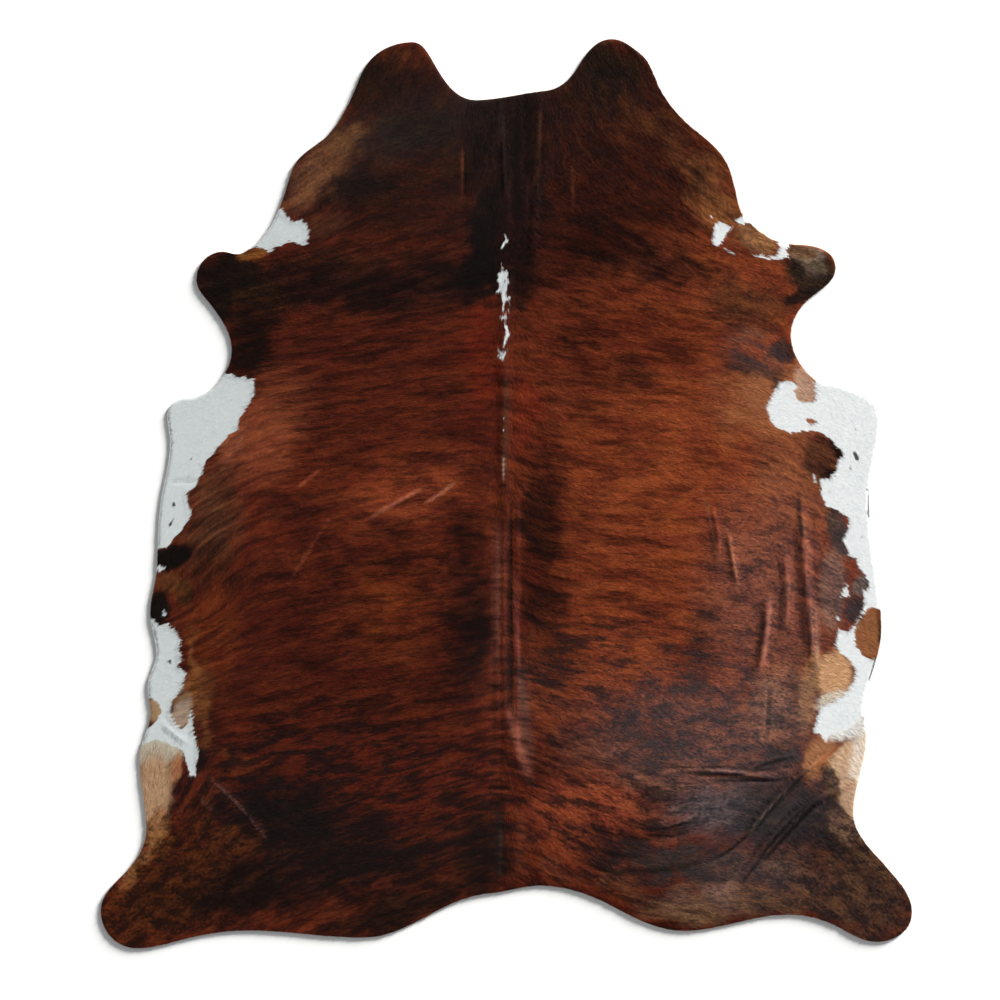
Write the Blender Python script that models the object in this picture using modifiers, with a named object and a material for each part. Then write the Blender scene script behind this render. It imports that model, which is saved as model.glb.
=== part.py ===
"""Cowhide rug: one whole tanned hide with its short hair, lying flat on the floor.

Metres, +Z up. The origin is on the floor under the middle of the outline. The neck is towards +Y,
the rump towards -Y, and +X is to the right of someone who looks down with the neck away from them.
"""
from collections import namedtuple
from math import ceil, cos, pi, radians, sin

import bmesh
import bpy
from mathutils import Vector
from mathutils.geometry import delaunay_2d_cdt, interpolate_bezier, intersect_point_line

RUG_NAME = "cowhide_rug"
HIDE_NAME = "hide"

LEATHER_THICKNESS = 0.0025
HAIR_THICKNESS = 0.0025         # short hair, lying down
EDGE_ROUNDING = 0.0012          # at the knife-cut edge, above and below
EDGE_CORNER_ANGLE = radians(60)

EDGE_SPACING = 0.024            # between points along the outline
FOLD_SPACING = 0.028            # between points along a fold
FOLD_ROWS = (-0.5, -0.25, 0.0, 0.25, 0.5)   # rows of points across a fold, in fold widths
FLAT_SPACING = 0.095            # between points where the hide lies flat
FLAT_CLEARANCE = 0.022          # from those points to the outline and the folds
SMALLEST_GAP = 0.006            # between any two points
FADING_SHARE = 0.3              # of a fold's length, over which each end dies away
MERGE_DISTANCE = 0.00001

COAT_COLOUR = (0.13, 0.035, 0.018, 1.0)
COAT_ROUGHNESS = 0.7

# One point at each lobe and bay of the outline, clockwise as seen from above. Heading is the way
# the edge runs there, in degrees from +X towards +Y.
EdgePoint = namedtuple("EdgePoint", "place across along heading")

NECK_EDGE = (
    EdgePoint("left ear crown", -0.222, 1.058, 2),
    EdgePoint("left ear inner side", -0.174, 1.016, -60),
    EdgePoint("nape dip", -0.067, 0.922, 2),
    EdgePoint("nape", 0.092, 0.944, 6),
    EdgePoint("right ear inner side", 0.168, 1.000, 59),
    EdgePoint("right ear crown", 0.247, 1.065, 0),
    EdgePoint("right ear outer side", 0.315, 1.030, -38),
    EdgePoint("right cheek", 0.351, 0.967, -67),
    EdgePoint("right jowl", 0.430, 0.862, -41),
    EdgePoint("right neck corner", 0.512, 0.782, -60),
)
RIGHT_FORELEG_EDGE = (
    EdgePoint("right neck side", 0.536, 0.712, -76),
    EdgePoint("right shoulder dip", 0.557, 0.648, -52),
    EdgePoint("right shoulder", 0.618, 0.598, -31),
    EdgePoint("right foreleg top", 0.688, 0.583, -2),
    EdgePoint("right foreleg tip", 0.771, 0.529, -90),
    EdgePoint("right foreleg underside", 0.707, 0.455, -136),
    EdgePoint("right armpit", 0.666, 0.372, -90),
    EdgePoint("right armpit end", 0.714, 0.273, -43),
)
RIGHT_FLANK_EDGE = (
    EdgePoint("right flank top", 0.763, 0.257, -17),
    EdgePoint("right flank brow", 0.824, 0.236, -22),
    EdgePoint("right flank corner", 0.875, 0.173, -90),
    EdgePoint("right waist", 0.849, -0.015, -90),
    EdgePoint("right flank bulge", 0.878, -0.319, -90),
    EdgePoint("right flank dip", 0.838, -0.509, -90),
    EdgePoint("right thigh", 0.843, -0.572, -90),
)
RIGHT_HIND_LEG_EDGE = (
    EdgePoint("right stifle", 0.812, -0.748, -90),
    EdgePoint("right leg outer side", 0.887, -0.871, -50),
    EdgePoint("right leg tip", 0.950, -0.982, -90),
    EdgePoint("right leg heel", 0.868, -1.050, 180),
    EdgePoint("right leg inner side", 0.777, -1.015, 152),
    EdgePoint("right ham bay", 0.660, -0.986, 180),
)
RUMP_EDGE = (
    EdgePoint("right ham", 0.414, -1.024, 180),
    EdgePoint("right rump", 0.243, -0.964, 152),
    EdgePoint("tail", 0.079, -0.918, 180),
    EdgePoint("tail step", -0.038, -0.936, 185),
    EdgePoint("left rump", -0.179, -0.986, 209),
    EdgePoint("left ham", -0.336, -1.040, 180),
)
LEFT_HIND_LEG_EDGE = (
    EdgePoint("left ham bay", -0.605, -1.023, 180),
    EdgePoint("left leg inner side", -0.765, -1.046, 195),
    EdgePoint("left leg heel", -0.866, -1.065, 180),
    EdgePoint("left leg tip", -0.950, -0.978, 90),
    EdgePoint("left leg outer side", -0.901, -0.896, 45),
    EdgePoint("left stifle", -0.843, -0.788, 90),
)
LEFT_FLANK_EDGE = (
    EdgePoint("left thigh", -0.859, -0.617, 90),
    EdgePoint("left thigh dip", -0.833, -0.516, 90),
    EdgePoint("left flank lobe", -0.840, -0.453, 90),
    EdgePoint("left flank dip", -0.819, -0.373, 90),
    EdgePoint("left flank bulge", -0.834, -0.282, 90),
    EdgePoint("left waist", -0.817, -0.160, 90),
    EdgePoint("left waist top", -0.810, -0.026, 83),
    EdgePoint("left flank bay", -0.787, 0.121, 90),
    EdgePoint("left flank corner", -0.794, 0.184, 90),
    EdgePoint("left flank brow", -0.741, 0.225, 2),
)
LEFT_FORELEG_EDGE = (
    EdgePoint("left armpit start", -0.676, 0.259, 46),
    EdgePoint("left armpit", -0.643, 0.337, 90),
    EdgePoint("left foreleg underside", -0.690, 0.440, 126),
    EdgePoint("left foreleg tip", -0.726, 0.501, 90),
    EdgePoint("left foreleg top", -0.666, 0.567, 2),
    EdgePoint("left shoulder dip", -0.624, 0.562, 15),
    EdgePoint("left shoulder", -0.559, 0.616, 54),
    EdgePoint("left neck side", -0.516, 0.712, 73),
    EdgePoint("left neck corner", -0.484, 0.787, 47),
    EdgePoint("left jowl", -0.413, 0.845, 48),
    EdgePoint("left cheek", -0.355, 0.946, 67),
    EdgePoint("left ear outer side", -0.313, 1.022, 44),
)
OUTLINE = (
    NECK_EDGE + RIGHT_FORELEG_EDGE + RIGHT_FLANK_EDGE + RIGHT_HIND_LEG_EDGE
    + RUMP_EDGE + LEFT_HIND_LEG_EDGE + LEFT_FLANK_EDGE + LEFT_FORELEG_EDGE
)

# The wrinkles that the hide lies in. Each runs from start to end, drawn towards its bend.
Fold = namedtuple("Fold", "place start bend end width height")

FOLDS = (
    Fold("spine", (-0.006, 0.594), (-0.004, -0.050), (0.001, -0.860), 0.044, 0.0020),
    Fold("right hock, upper", (0.800, -0.582), (0.630, -0.690), (0.552, -0.825), 0.030, 0.0060),
    Fold("right hock, lower", (0.805, -0.679), (0.653, -0.730), (0.545, -0.917), 0.030, 0.0050),
    Fold("right thigh, long", (0.371, -0.639), (0.554, -0.654), (0.660, -0.672), 0.028, 0.0050),
    Fold("right thigh, short", (0.552, -0.659), (0.596, -0.624), (0.688, -0.608), 0.022, 0.0035),
    Fold("right ham", (0.449, -0.755), (0.389, -0.790), (0.325, -0.790), 0.022, 0.0030),
    Fold("right flank, long", (0.688, -0.003), (0.700, -0.238), (0.721, -0.425), 0.034, 0.0050),
    Fold("right flank, short", (0.648, -0.120), (0.664, -0.228), (0.653, -0.343), 0.028, 0.0035),
    Fold("right loin, low", (0.613, -0.226), (0.612, -0.328), (0.587, -0.441), 0.030, 0.0045),
    Fold("right loin, outer", (0.519, -0.080), (0.526, -0.147), (0.545, -0.230), 0.024, 0.0030),
    Fold("right loin, inner", (0.482, -0.026), (0.501, -0.094), (0.500, -0.174), 0.024, 0.0030),
    Fold("left hock", (-0.701, -0.659), (-0.615, -0.725), (-0.542, -0.835), 0.024, 0.0035),
    Fold("left thigh", (-0.815, -0.530), (-0.782, -0.563), (-0.737, -0.593), 0.020, 0.0030),
    Fold("left ribs", (-0.331, -0.057), (-0.262, -0.020), (-0.191, 0.009), 0.022, 0.0025),
)


def clear_scene():
    for old_object in list(bpy.data.objects):
        bpy.data.objects.remove(old_object, do_unlink=True)


def coat_material():
    material = bpy.data.materials.new("brindle_coat")
    material.use_nodes = True
    shader = material.node_tree.nodes["Principled BSDF"]
    shader.inputs["Base Color"].default_value = COAT_COLOUR
    shader.inputs["Roughness"].default_value = COAT_ROUGHNESS
    return material


def arc_like_handle(chord, direction):
    """A Bezier handle along direction, as long as it is on an arc over the same chord."""
    bend = chord.angle(direction)
    return direction * chord.length * 2 / (3 * (1 + cos(bend)))


def edge_direction(point):
    return Vector((cos(radians(point.heading)), sin(radians(point.heading)), 0))


def outline_points():
    """The outline as evenly spaced points through the edge points, clockwise."""
    points = []
    for here, there in zip(OUTLINE, OUTLINE[1:] + OUTLINE[:1]):
        start = Vector((here.across, here.along, 0))
        end = Vector((there.across, there.along, 0))
        chord = end - start
        leaving = start + arc_like_handle(chord, edge_direction(here))
        arriving = end - arc_like_handle(chord, edge_direction(there))
        steps = max(2, ceil(chord.length / EDGE_SPACING))
        points += interpolate_bezier(start, leaving, arriving, end, steps + 1)[:-1]
    return points


def crest_line(fold):
    """Evenly spaced points along the top of a fold."""
    start = Vector((*fold.start, 0))
    bend = Vector((*fold.bend, 0))
    end = Vector((*fold.end, 0))
    steps = ceil((end - start).length / FOLD_SPACING)
    leaving = start.lerp(bend, 2 / 3)
    arriving = end.lerp(bend, 2 / 3)
    return interpolate_bezier(start, leaving, arriving, end, steps + 1)


def fold_points(fold, crest):
    """Rows of points along a fold, on its crest, its sides and its feet."""
    points = []
    for number, place in enumerate(crest):
        before = crest[max(number - 1, 0)]
        after = crest[min(number + 1, len(crest) - 1)]
        along = (after - before).normalized()
        sideways = Vector((-along.y, along.x, 0))
        points += [place + sideways * fold.width * row for row in FOLD_ROWS]
    return points


def flat_points():
    """A staggered grid over the whole hide, for the parts that lie flat."""
    half_width = max(abs(point.across) for point in OUTLINE)
    half_length = max(abs(point.along) for point in OUTLINE)
    columns = ceil(half_width / FLAT_SPACING)
    rows = ceil(half_length / FLAT_SPACING)
    points = []
    for row in range(-rows, rows + 1):
        stagger = FLAT_SPACING / 2 * (row % 2)
        for column in range(-columns, columns + 1):
            points.append(Vector((column * FLAT_SPACING + stagger, row * FLAT_SPACING, 0)))
    return points


def add_apart(points, new_points, gap):
    """Add each new point that is at least gap away from all the points so far."""
    for new_point in new_points:
        if all((new_point - point).length >= gap for point in points):
            points.append(new_point)


def fold_height(fold, crest, place):
    """How far one fold lifts the hide at a place: a rounded ridge that dies away at its ends."""
    height = 0.0
    last = len(crest) - 1
    for number in range(last):
        nearest, share = intersect_point_line(place, crest[number], crest[number + 1])
        share = min(max(share, 0.0), 1.0)
        nearest = crest[number].lerp(crest[number + 1], share)
        offset = (place - nearest).length / (fold.width / 2)
        if offset >= 1:
            continue
        travelled = (number + share) / last
        fading = min(1.0, travelled / FADING_SHARE, (1 - travelled) / FADING_SHARE)
        ridge = (1 + cos(pi * offset)) / 2 * (1 - cos(pi * fading)) / 2
        height = max(height, fold.height * ridge)
    return height


def build_sheet():
    """The underside of the hide as an open mesh: flat on the floor but for the folds."""
    crests = [crest_line(fold) for fold in FOLDS]
    points = outline_points()
    edge_count = len(points)
    for fold, crest in zip(FOLDS, crests):
        add_apart(points, fold_points(fold, crest), SMALLEST_GAP)
    add_apart(points, flat_points(), FLAT_CLEARANCE)

    edge_ring = [list(range(edge_count))]
    inside_constraints = 1
    places, _, faces, *_ = delaunay_2d_cdt(
        [point.to_2d() for point in points], [], edge_ring, inside_constraints, MERGE_DISTANCE
    )
    sheet = bmesh.new()
    for place in places:
        place = place.to_3d()
        place.z = max(fold_height(fold, crest, place) for fold, crest in zip(FOLDS, crests))
        sheet.verts.new(place)
    sheet.verts.ensure_lookup_table()
    for face in faces:
        sheet.faces.new([sheet.verts[number] for number in face])
    off_the_hide = [vert for vert in sheet.verts if not vert.link_faces]
    bmesh.ops.delete(sheet, geom=off_the_hide, context="VERTS")
    bmesh.ops.recalc_face_normals(sheet, faces=sheet.faces)
    if sum(face.normal.z for face in sheet.faces) < 0:
        bmesh.ops.reverse_faces(sheet, faces=sheet.faces)

    mesh = bpy.data.meshes.new(HIDE_NAME)
    sheet.to_mesh(mesh)
    sheet.free()
    return mesh


def build_hide():
    """The sheet made as thick as leather and hair together, with a softened cut edge."""
    hide = bpy.data.objects.new(HIDE_NAME, build_sheet())
    hide.data.materials.append(coat_material())
    thicken = hide.modifiers.new("leather and hair", "SOLIDIFY")
    thicken.thickness = LEATHER_THICKNESS + HAIR_THICKNESS
    thicken.offset = 1
    soften = hide.modifiers.new("cut edge", "BEVEL")
    soften.width = EDGE_ROUNDING
    soften.segments = 1
    soften.limit_method = "ANGLE"
    soften.angle_limit = EDGE_CORNER_ANGLE
    return hide


def main():
    clear_scene()
    rug = bpy.data.collections.new(RUG_NAME)
    bpy.context.scene.collection.children.link(rug)
    rug.objects.link(build_hide())


main()
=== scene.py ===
"""Cowhide rug laid flat, hair side up: the leather sheet, its coat of short hair, and the studio.

It works in metres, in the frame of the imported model: +Z up, the neck towards +Y. Its tables hold
millimetres, and degrees turned from +X towards +Y.
"""
from collections import namedtuple
from math import ceil, cos, pi, radians, sin

import bpy
import numpy as np
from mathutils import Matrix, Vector
from mathutils.geometry import delaunay_2d_cdt, interpolate_bezier


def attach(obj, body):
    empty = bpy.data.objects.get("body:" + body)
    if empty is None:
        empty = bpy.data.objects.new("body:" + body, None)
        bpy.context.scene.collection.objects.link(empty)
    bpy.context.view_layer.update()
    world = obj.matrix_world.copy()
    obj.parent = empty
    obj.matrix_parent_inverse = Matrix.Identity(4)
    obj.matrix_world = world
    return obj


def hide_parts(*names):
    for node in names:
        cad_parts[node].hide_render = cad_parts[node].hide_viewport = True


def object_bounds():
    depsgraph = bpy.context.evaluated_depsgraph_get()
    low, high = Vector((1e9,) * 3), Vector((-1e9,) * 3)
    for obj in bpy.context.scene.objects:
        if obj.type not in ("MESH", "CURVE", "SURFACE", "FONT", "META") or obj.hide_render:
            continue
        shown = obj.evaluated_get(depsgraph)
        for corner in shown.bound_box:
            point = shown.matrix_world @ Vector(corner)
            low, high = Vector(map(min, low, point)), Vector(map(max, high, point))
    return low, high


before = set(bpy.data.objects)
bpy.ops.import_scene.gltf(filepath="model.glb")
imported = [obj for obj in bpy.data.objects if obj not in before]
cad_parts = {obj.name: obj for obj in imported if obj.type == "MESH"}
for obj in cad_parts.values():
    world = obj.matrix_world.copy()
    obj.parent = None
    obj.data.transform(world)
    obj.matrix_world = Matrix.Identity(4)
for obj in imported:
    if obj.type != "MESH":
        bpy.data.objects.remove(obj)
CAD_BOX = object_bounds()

MM = 0.001                      # the tables' unit

LEATHER_THICKNESS = 0.0025
HAIR_THICKNESS = 0.0025
SKIN_SHARE = 0.45               # of the hair's thickness, where the sheet lies under the hair
SKIN_HEIGHT = LEATHER_THICKNESS + SKIN_SHARE * HAIR_THICKNESS
EDGE_ROUNDING = 0.0012          # of the cut edge, at the floor
SKIN_INSET = 0.0016             # of the hair side's rim, from the cut edge

CHART_CELL = 0.003              # of the charts that hold tone, flow and height over the hide
CHART_MARGIN = 0.05
FAR_SIDE_GAP = 1.001            # cells, kept between the places read and a chart's far side
TOP_SPACING = 0.0066            # between points of the hair side
BOTTOM_SPACING = 0.026          # between points of the flesh side
EDGE_SPACING = 0.0045           # between points along the cut edge
COARSE_EDGE_SPACING = 0.02
CREST_SPACING = 0.006           # between points along a fold
FADING_SHARE = 0.3              # of a fold's length, over which each end dies away

STRAND_SPACING = 0.00211
STRAND_LENGTH = 0.014
STRAND_WIDTH = 0.0013
STRAND_RISE = 0.0012            # from root to tip
STRAND_SINK = 0.0003            # of the roots into the skin
STRAND_OVERHANG = 0.0016        # past the cut edge, at most
ROOT_DEPTH = 0.0009             # of the outermost roots, inside the cut edge
HAIR_PIECES = ("hair_neck", "hair_ribs", "hair_loin", "hair_rump")


# ---------------------------------------------------------------- tables

EdgePoint = namedtuple("EdgePoint", "place across along heading")

OUTLINE = [EdgePoint(*row) for row in (
    ("left ear crown", -222, 1058, 2),
    ("left ear inner side", -174, 1016, -60),
    ("nape dip", -67, 922, 2),
    ("nape", 92, 944, 6),
    ("right ear inner side", 168, 1000, 59),
    ("right ear crown", 247, 1065, 0),
    ("right ear outer side", 315, 1030, -38),
    ("right cheek", 351, 967, -67),
    ("right jowl", 430, 862, -41),
    ("right neck corner", 512, 782, -60),
    ("right neck side", 536, 712, -76),
    ("right shoulder dip", 557, 648, -52),
    ("right shoulder", 618, 598, -31),
    ("right foreleg top", 688, 583, -2),
    ("right foreleg tip", 771, 529, -90),
    ("right foreleg underside", 707, 455, -136),
    ("right armpit", 666, 372, -90),
    ("right armpit end", 714, 273, -43),
    ("right flank top", 763, 257, -17),
    ("right flank brow", 824, 236, -22),
    ("right flank corner", 875, 173, -90),
    ("right waist", 849, -15, -90),
    ("right flank bulge", 878, -319, -90),
    ("right flank dip", 838, -509, -90),
    ("right thigh", 843, -572, -90),
    ("right stifle", 812, -748, -90),
    ("right leg outer side", 887, -871, -50),
    ("right leg tip", 950, -982, -90),
    ("right leg heel", 868, -1050, 180),
    ("right leg inner side", 777, -1015, 152),
    ("right ham bay", 660, -986, 180),
    ("right ham", 414, -1024, 180),
    ("right rump", 243, -964, 152),
    ("tail", 79, -918, 180),
    ("tail step", -38, -936, 185),
    ("left rump", -179, -986, 209),
    ("left ham", -336, -1040, 180),
    ("left ham bay", -605, -1023, 180),
    ("left leg inner side", -765, -1046, 195),
    ("left leg heel", -866, -1065, 180),
    ("left leg tip", -950, -978, 90),
    ("left leg outer side", -901, -896, 45),
    ("left stifle", -843, -788, 90),
    ("left thigh", -859, -617, 90),
    ("left thigh dip", -833, -516, 90),
    ("left flank lobe", -840, -453, 90),
    ("left flank dip", -819, -373, 90),
    ("left flank bulge", -834, -282, 90),
    ("left waist", -817, -160, 90),
    ("left waist top", -810, -26, 83),
    ("left flank bay", -787, 121, 90),
    ("left flank corner", -794, 184, 90),
    ("left flank brow", -741, 225, 2),
    ("left armpit start", -676, 259, 46),
    ("left armpit", -643, 337, 90),
    ("left foreleg underside", -690, 440, 126),
    ("left foreleg tip", -726, 501, 90),
    ("left foreleg top", -666, 567, 2),
    ("left shoulder dip", -624, 562, 15),
    ("left shoulder", -559, 616, 54),
    ("left neck side", -516, 712, 73),
    ("left neck corner", -484, 787, 47),
    ("left jowl", -413, 845, 48),
    ("left cheek", -355, 946, 67),
    ("left ear outer side", -313, 1022, 44),
)]

# The folds of the solid, the sharpest of them softened as the hair softens them. Each runs from
# start to end, drawn towards its bend.
Fold = namedtuple("Fold", "place start bend end width height")

FOLDS = [Fold(*row) for row in (
    ("spine", (-6, 594), (-4, -50), (1, -860), 44, 2),
    ("right hock, upper", (800, -582), (630, -690), (552, -825), 24, 5),
    ("right hock, lower", (805, -679), (653, -730), (545, -917), 22, 4),
    ("right thigh, long", (371, -639), (554, -654), (660, -672), 20, 2.6),
    ("right thigh, short", (552, -659), (596, -624), (688, -608), 18, 2.2),
    ("right ham", (449, -755), (389, -790), (325, -790), 22, 3),
    ("right flank, long", (688, -3), (700, -238), (721, -425), 34, 5),
    ("right flank, short", (648, -120), (664, -228), (653, -343), 28, 3.5),
    ("right loin, low", (613, -226), (612, -328), (587, -441), 30, 4.5),
    ("right loin, outer", (519, -80), (526, -147), (545, -230), 24, 3),
    ("right loin, inner", (482, -26), (501, -94), (500, -174), 24, 3),
    ("left hock", (-701, -659), (-615, -725), (-542, -835), 14, 1.2),
    ("left thigh", (-815, -530), (-782, -563), (-737, -593), 10, 1.4),
    ("left ribs", (-331, -57), (-262, -20), (-191, 9), 22, 2.5),
)]

# Finer creases, which the solid leaves out: a height below zero is a groove.
CREASES = [Fold(*row) for row in (
    ("spine groove", (6, 56), (11, -249), (8, -671), 12, -2.2),
    ("spine left ridge", (-22, 32), (-24, -296), (-20, -694), 20, 1.2),
    ("spine right ridge", (25, -15), (27, -296), (22, -718), 16, 1.4),
    ("tail wrinkle", (-67, -699), (-15, -685), (37, -699), 12, -1.6),
    ("nape left", (-99, 829), (-95, 712), (-104, 613), 12, -1),
    ("nape middle", (-8, 923), (-13, 805), (-1, 676), 14, 1.4),
    ("nape right", (81, 941), (74, 735), (53, 454), 14, 1.6),
    ("nape outer", (161, 810), (165, 759), (158, 700), 12, 0.8),
    ("thigh crease one", (313, -636), (454, -638), (571, -643), 8, -1),
    ("thigh crease two", (407, -661), (524, -669), (665, -666), 10, -1.6),
    ("thigh crease three", (519, -671), (594, -676), (669, -669), 8, -1.4),
    ("loin groove", (618, -432), (615, -519), (608, -601), 10, -1.4),
    ("ham groove upper", (454, -753), (397, -793), (320, -790), 9, -1.4),
    ("ham groove lower", (435, -793), (402, -807), (365, -807), 8, -1),
    ("stifle crease", (796, -659), (763, -685), (723, -704), 7, -1),
    ("stifle fan", (833, -669), (796, -671), (758, -694), 7, 1),
    ("left belly crease", (-800, 27), (-753, 30), (-704, 25), 8, -0.9),
    ("left thigh crease one", (-852, -657), (-812, -664), (-765, -657), 7, -0.9),
    ("left thigh crease two", (-849, -680), (-812, -685), (-774, -680), 6, -0.7),
    ("left hock short", (-727, -704), (-713, -722), (-697, -739), 8, 1.2),
    ("left ribs short", (-193, -29), (-156, -10), (-118, 18), 12, 1.2),
    ("left rib line", (-484, -34), (-451, 4), (-423, 46), 12, 0.8),
    ("right rib line", (430, 4), (524, 6), (665, -1), 8, 0.7),
    ("right shoulder wave", (325, 91), (365, 56), (407, 13), 12, 0.8),
)]

# White patches. Each ring runs round one patch, and past the outline where the patch reaches it.
WHITE_PATCHES = {
    "left shoulder": (
        (-573, 655), (-528, 669), (-512, 644), (-498, 637), (-477, 639), (-465, 623), (-463, 599),
        (-470, 580), (-486, 587), (-509, 592), (-528, 580), (-542, 578), (-552, 564), (-570, 576),
        (-589, 578), (-624, 564), (-638, 604),
    ),
    "left flank": (
        (-683, 309), (-652, 280), (-622, 273), (-591, 269), (-591, 229), (-608, 203), (-624, 177),
        (-629, 149), (-655, 135), (-680, 102), (-704, 74), (-720, 37), (-730, 13), (-751, 4),
        (-748, -15), (-737, -48), (-753, -73), (-777, -104), (-795, -127), (-819, -130), (-859, -123),
        (-835, 56), (-823, 255),
    ),
    "left belly sliver": ((-835, -169), (-812, -169), (-798, -176), (-812, -183), (-835, -181)),
    "left belly dot": ((-802, -273), (-795, -280), (-800, -289), (-807, -282)),
    "left thigh": (
        (-863, -263), (-835, -287), (-814, -310), (-800, -303), (-774, -322), (-762, -343),
        (-767, -362), (-762, -390), (-772, -406), (-751, -418), (-753, -437), (-762, -460),
        (-784, -488), (-788, -512), (-779, -535), (-760, -554), (-748, -540), (-737, -500),
        (-734, -549), (-723, -605), (-727, -661), (-741, -659), (-751, -624), (-758, -601),
        (-788, -589), (-816, -577), (-840, -582), (-887, -605), (-882, -572), (-840, -549),
        (-823, -537), (-809, -512), (-812, -490), (-835, -479), (-870, -460),
    ),
    "right shoulder": (
        (486, 632), (496, 637), (517, 630), (529, 625), (515, 609), (503, 587), (491, 580), (482, 587),
        (484, 604),
    ),
    "right neck notch": ((536, 641), (547, 648), (566, 658), (568, 634), (547, 632)),
    "right foreleg": (
        (578, 557), (601, 559), (618, 555), (634, 559), (641, 573), (634, 587), (650, 599), (672, 599),
        (662, 580), (655, 569), (662, 555), (632, 548), (599, 552),
    ),
    "right flank": (
        (730, 295), (723, 266), (723, 220), (707, 213), (681, 217), (672, 241), (683, 250), (667, 264),
        (643, 262), (629, 243), (618, 224), (608, 203), (620, 166), (639, 152), (665, 142), (688, 147),
        (716, 149), (740, 142), (765, 123), (775, 107), (786, 105), (789, 91), (777, 79), (772, 56),
        (758, 34), (735, 37), (737, -1), (749, -31), (765, -34), (782, -43), (803, -59), (800, -85),
        (789, -108), (803, -144), (822, -151), (824, -176), (838, -186), (845, -202), (852, -219),
        (836, -228), (838, -263), (829, -289), (800, -324), (777, -319), (770, -355), (782, -373),
        (800, -390), (819, -411), (812, -441), (796, -465), (770, -486), (740, -497), (728, -519),
        (718, -561), (732, -561), (747, -582), (758, -565), (798, -551), (833, -521), (887, -512),
        (922, -155), (899, 220), (805, 278),
    ),
    "right flank hole": ((799, -209), (800, -226), (803, -240), (782, -244), (789, -228)),
    "right flank dot": ((774, -289), (784, -294), (779, -298)),
}

# Coloured islands in the white.
ISLANDS = {
    "right flank speck": ((702, 175), (714, 177), (725, 170), (728, 163), (714, 163), (704, 168)),
    "right flank oval": (
        (850, -265), (868, -268), (899, -287), (899, -366), (873, -378), (857, -390), (833, -378),
        (819, -359), (815, -326), (824, -296),
    ),
}

# White hairs and dark specks: strokes that taper from one width to the other.
Stroke = namedtuple("Stroke", "place start end start_width end_width")

WHITE_STROKES = [Stroke(*row) for row in (
    ("spine, tuft", (-3, 606), (0, 592), 1.9, 8),
    ("spine, tuft end", (0, 594), (-10, 576), 8, 5.6),
    ("spine, top spike", (-12, 538), (-7, 515), 1.9, 8.2),
    ("spine, left spike", (-22, 522), (-13, 503), 1.9, 9.4),
    ("spine, right spike", (3, 519), (-4, 498), 2.3, 11.7),
    ("spine, main", (-8, 510), (-7, 480), 22, 19),
    ("spine, left tooth", (-23, 505), (-10, 491), 1.9, 11.7),
    ("spine, right tooth", (10, 491), (-3, 501), 1.9, 11.7),
    ("spine, waist", (-8, 482), (-3, 456), 16, 10.5),
    ("spine, left foot", (-24, 471), (-10, 480), 3.5, 14),
    ("spine, right foot", (14, 462), (-3, 456), 1.9, 10.5),
    ("spine, end", (-7, 461), (-7, 423), 8.2, 3.3),
    ("spine, side hair", (8, 445), (1, 421), 1.9, 2.8),
    ("spine, cross left", (-20, 416), (-8, 412), 2.3, 5.9),
    ("spine, cross right", (-8, 412), (6, 428), 5.9, 2.3),
    ("spine, link", (-1, 414), (-4, 393), 4.2, 3.3),
    ("spine, lower", (-1, 393), (3, 372), 5.9, 11.7),
    ("spine, lower end", (2, 372), (-8, 344), 9.8, 4.7),
    ("spine, hook top", (-21, 339), (-10, 327), 5.9, 5.9),
    ("spine, hook left", (-22, 326), (-10, 316), 3.5, 8.2),
    ("spine, hook right", (-10, 316), (2, 339), 8.2, 2.8),
    ("spine, hair", (-6, 177), (-6, 149), 2.3, 3.5),
    ("right shoulder line", (510, 573), (531, 562), 4.7, 7),
    ("right shoulder dot", (479, 651), (482, 648), 4.7, 3.5),
    ("right flank spike", (721, 44), (723, 27), 4.7, 7),
)]

DARK_STROKES = [Stroke(*row) for row in (
    ("spine gap, upper", (-4, 501), (-4, 494), 2.8, 2.8),
    ("spine gap, lower", (-2, 473), (-1, 463), 3.3, 3.3),
    ("left flank speck one", (-779, -22), (-779, -29), 8.2, 7),
    ("left flank speck two", (-781, -57), (-781, -62), 4.7, 4.7),
    ("left flank speck three", (-786, -69), (-788, -73), 7, 8.2),
    ("left flank speck four", (-737, 84), (-739, 79), 3.5, 3.5),
    ("left flank speck five", (-718, 72), (-718, 67), 2.3, 3.5),
    ("left flank speck six", (-744, 44), (-744, 39), 3.5, 3.5),
    ("left thigh speck", (-788, -392), (-786, -397), 8.2, 7),
    ("left shoulder speck", (-488, 604), (-486, 602), 3.5, 3.5),
    ("right flank speck one", (815, 95), (822, 81), 8.2, 9.4),
    ("right flank speck two", (805, 63), (805, 58), 4.7, 4.7),
    ("right flank speck three", (817, 154), (817, 149), 3.5, 3.5),
    ("right flank speck four", (754, 6), (754, 2), 3.5, 3.5),
    ("right flank speck five", (784, -26), (784, -31), 3.5, 3.5),
    ("right flank speck six", (831, -99), (831, -106), 4.7, 3.5),
    ("right flank speck seven", (845, 11), (845, 6), 3.5, 3.5),
    ("right flank edge line", (847, -3), (847, -55), 3.5, 4.7),
    ("right flank top speck", (866, 201), (866, 196), 2.3, 2.3),
    ("right flank oval tail", (868, -378), (850, -437), 7, 4.7),
)]

# The way the brindle stripes run, read off at places on the hide.
Flow = namedtuple("Flow", "across along turn")

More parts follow.
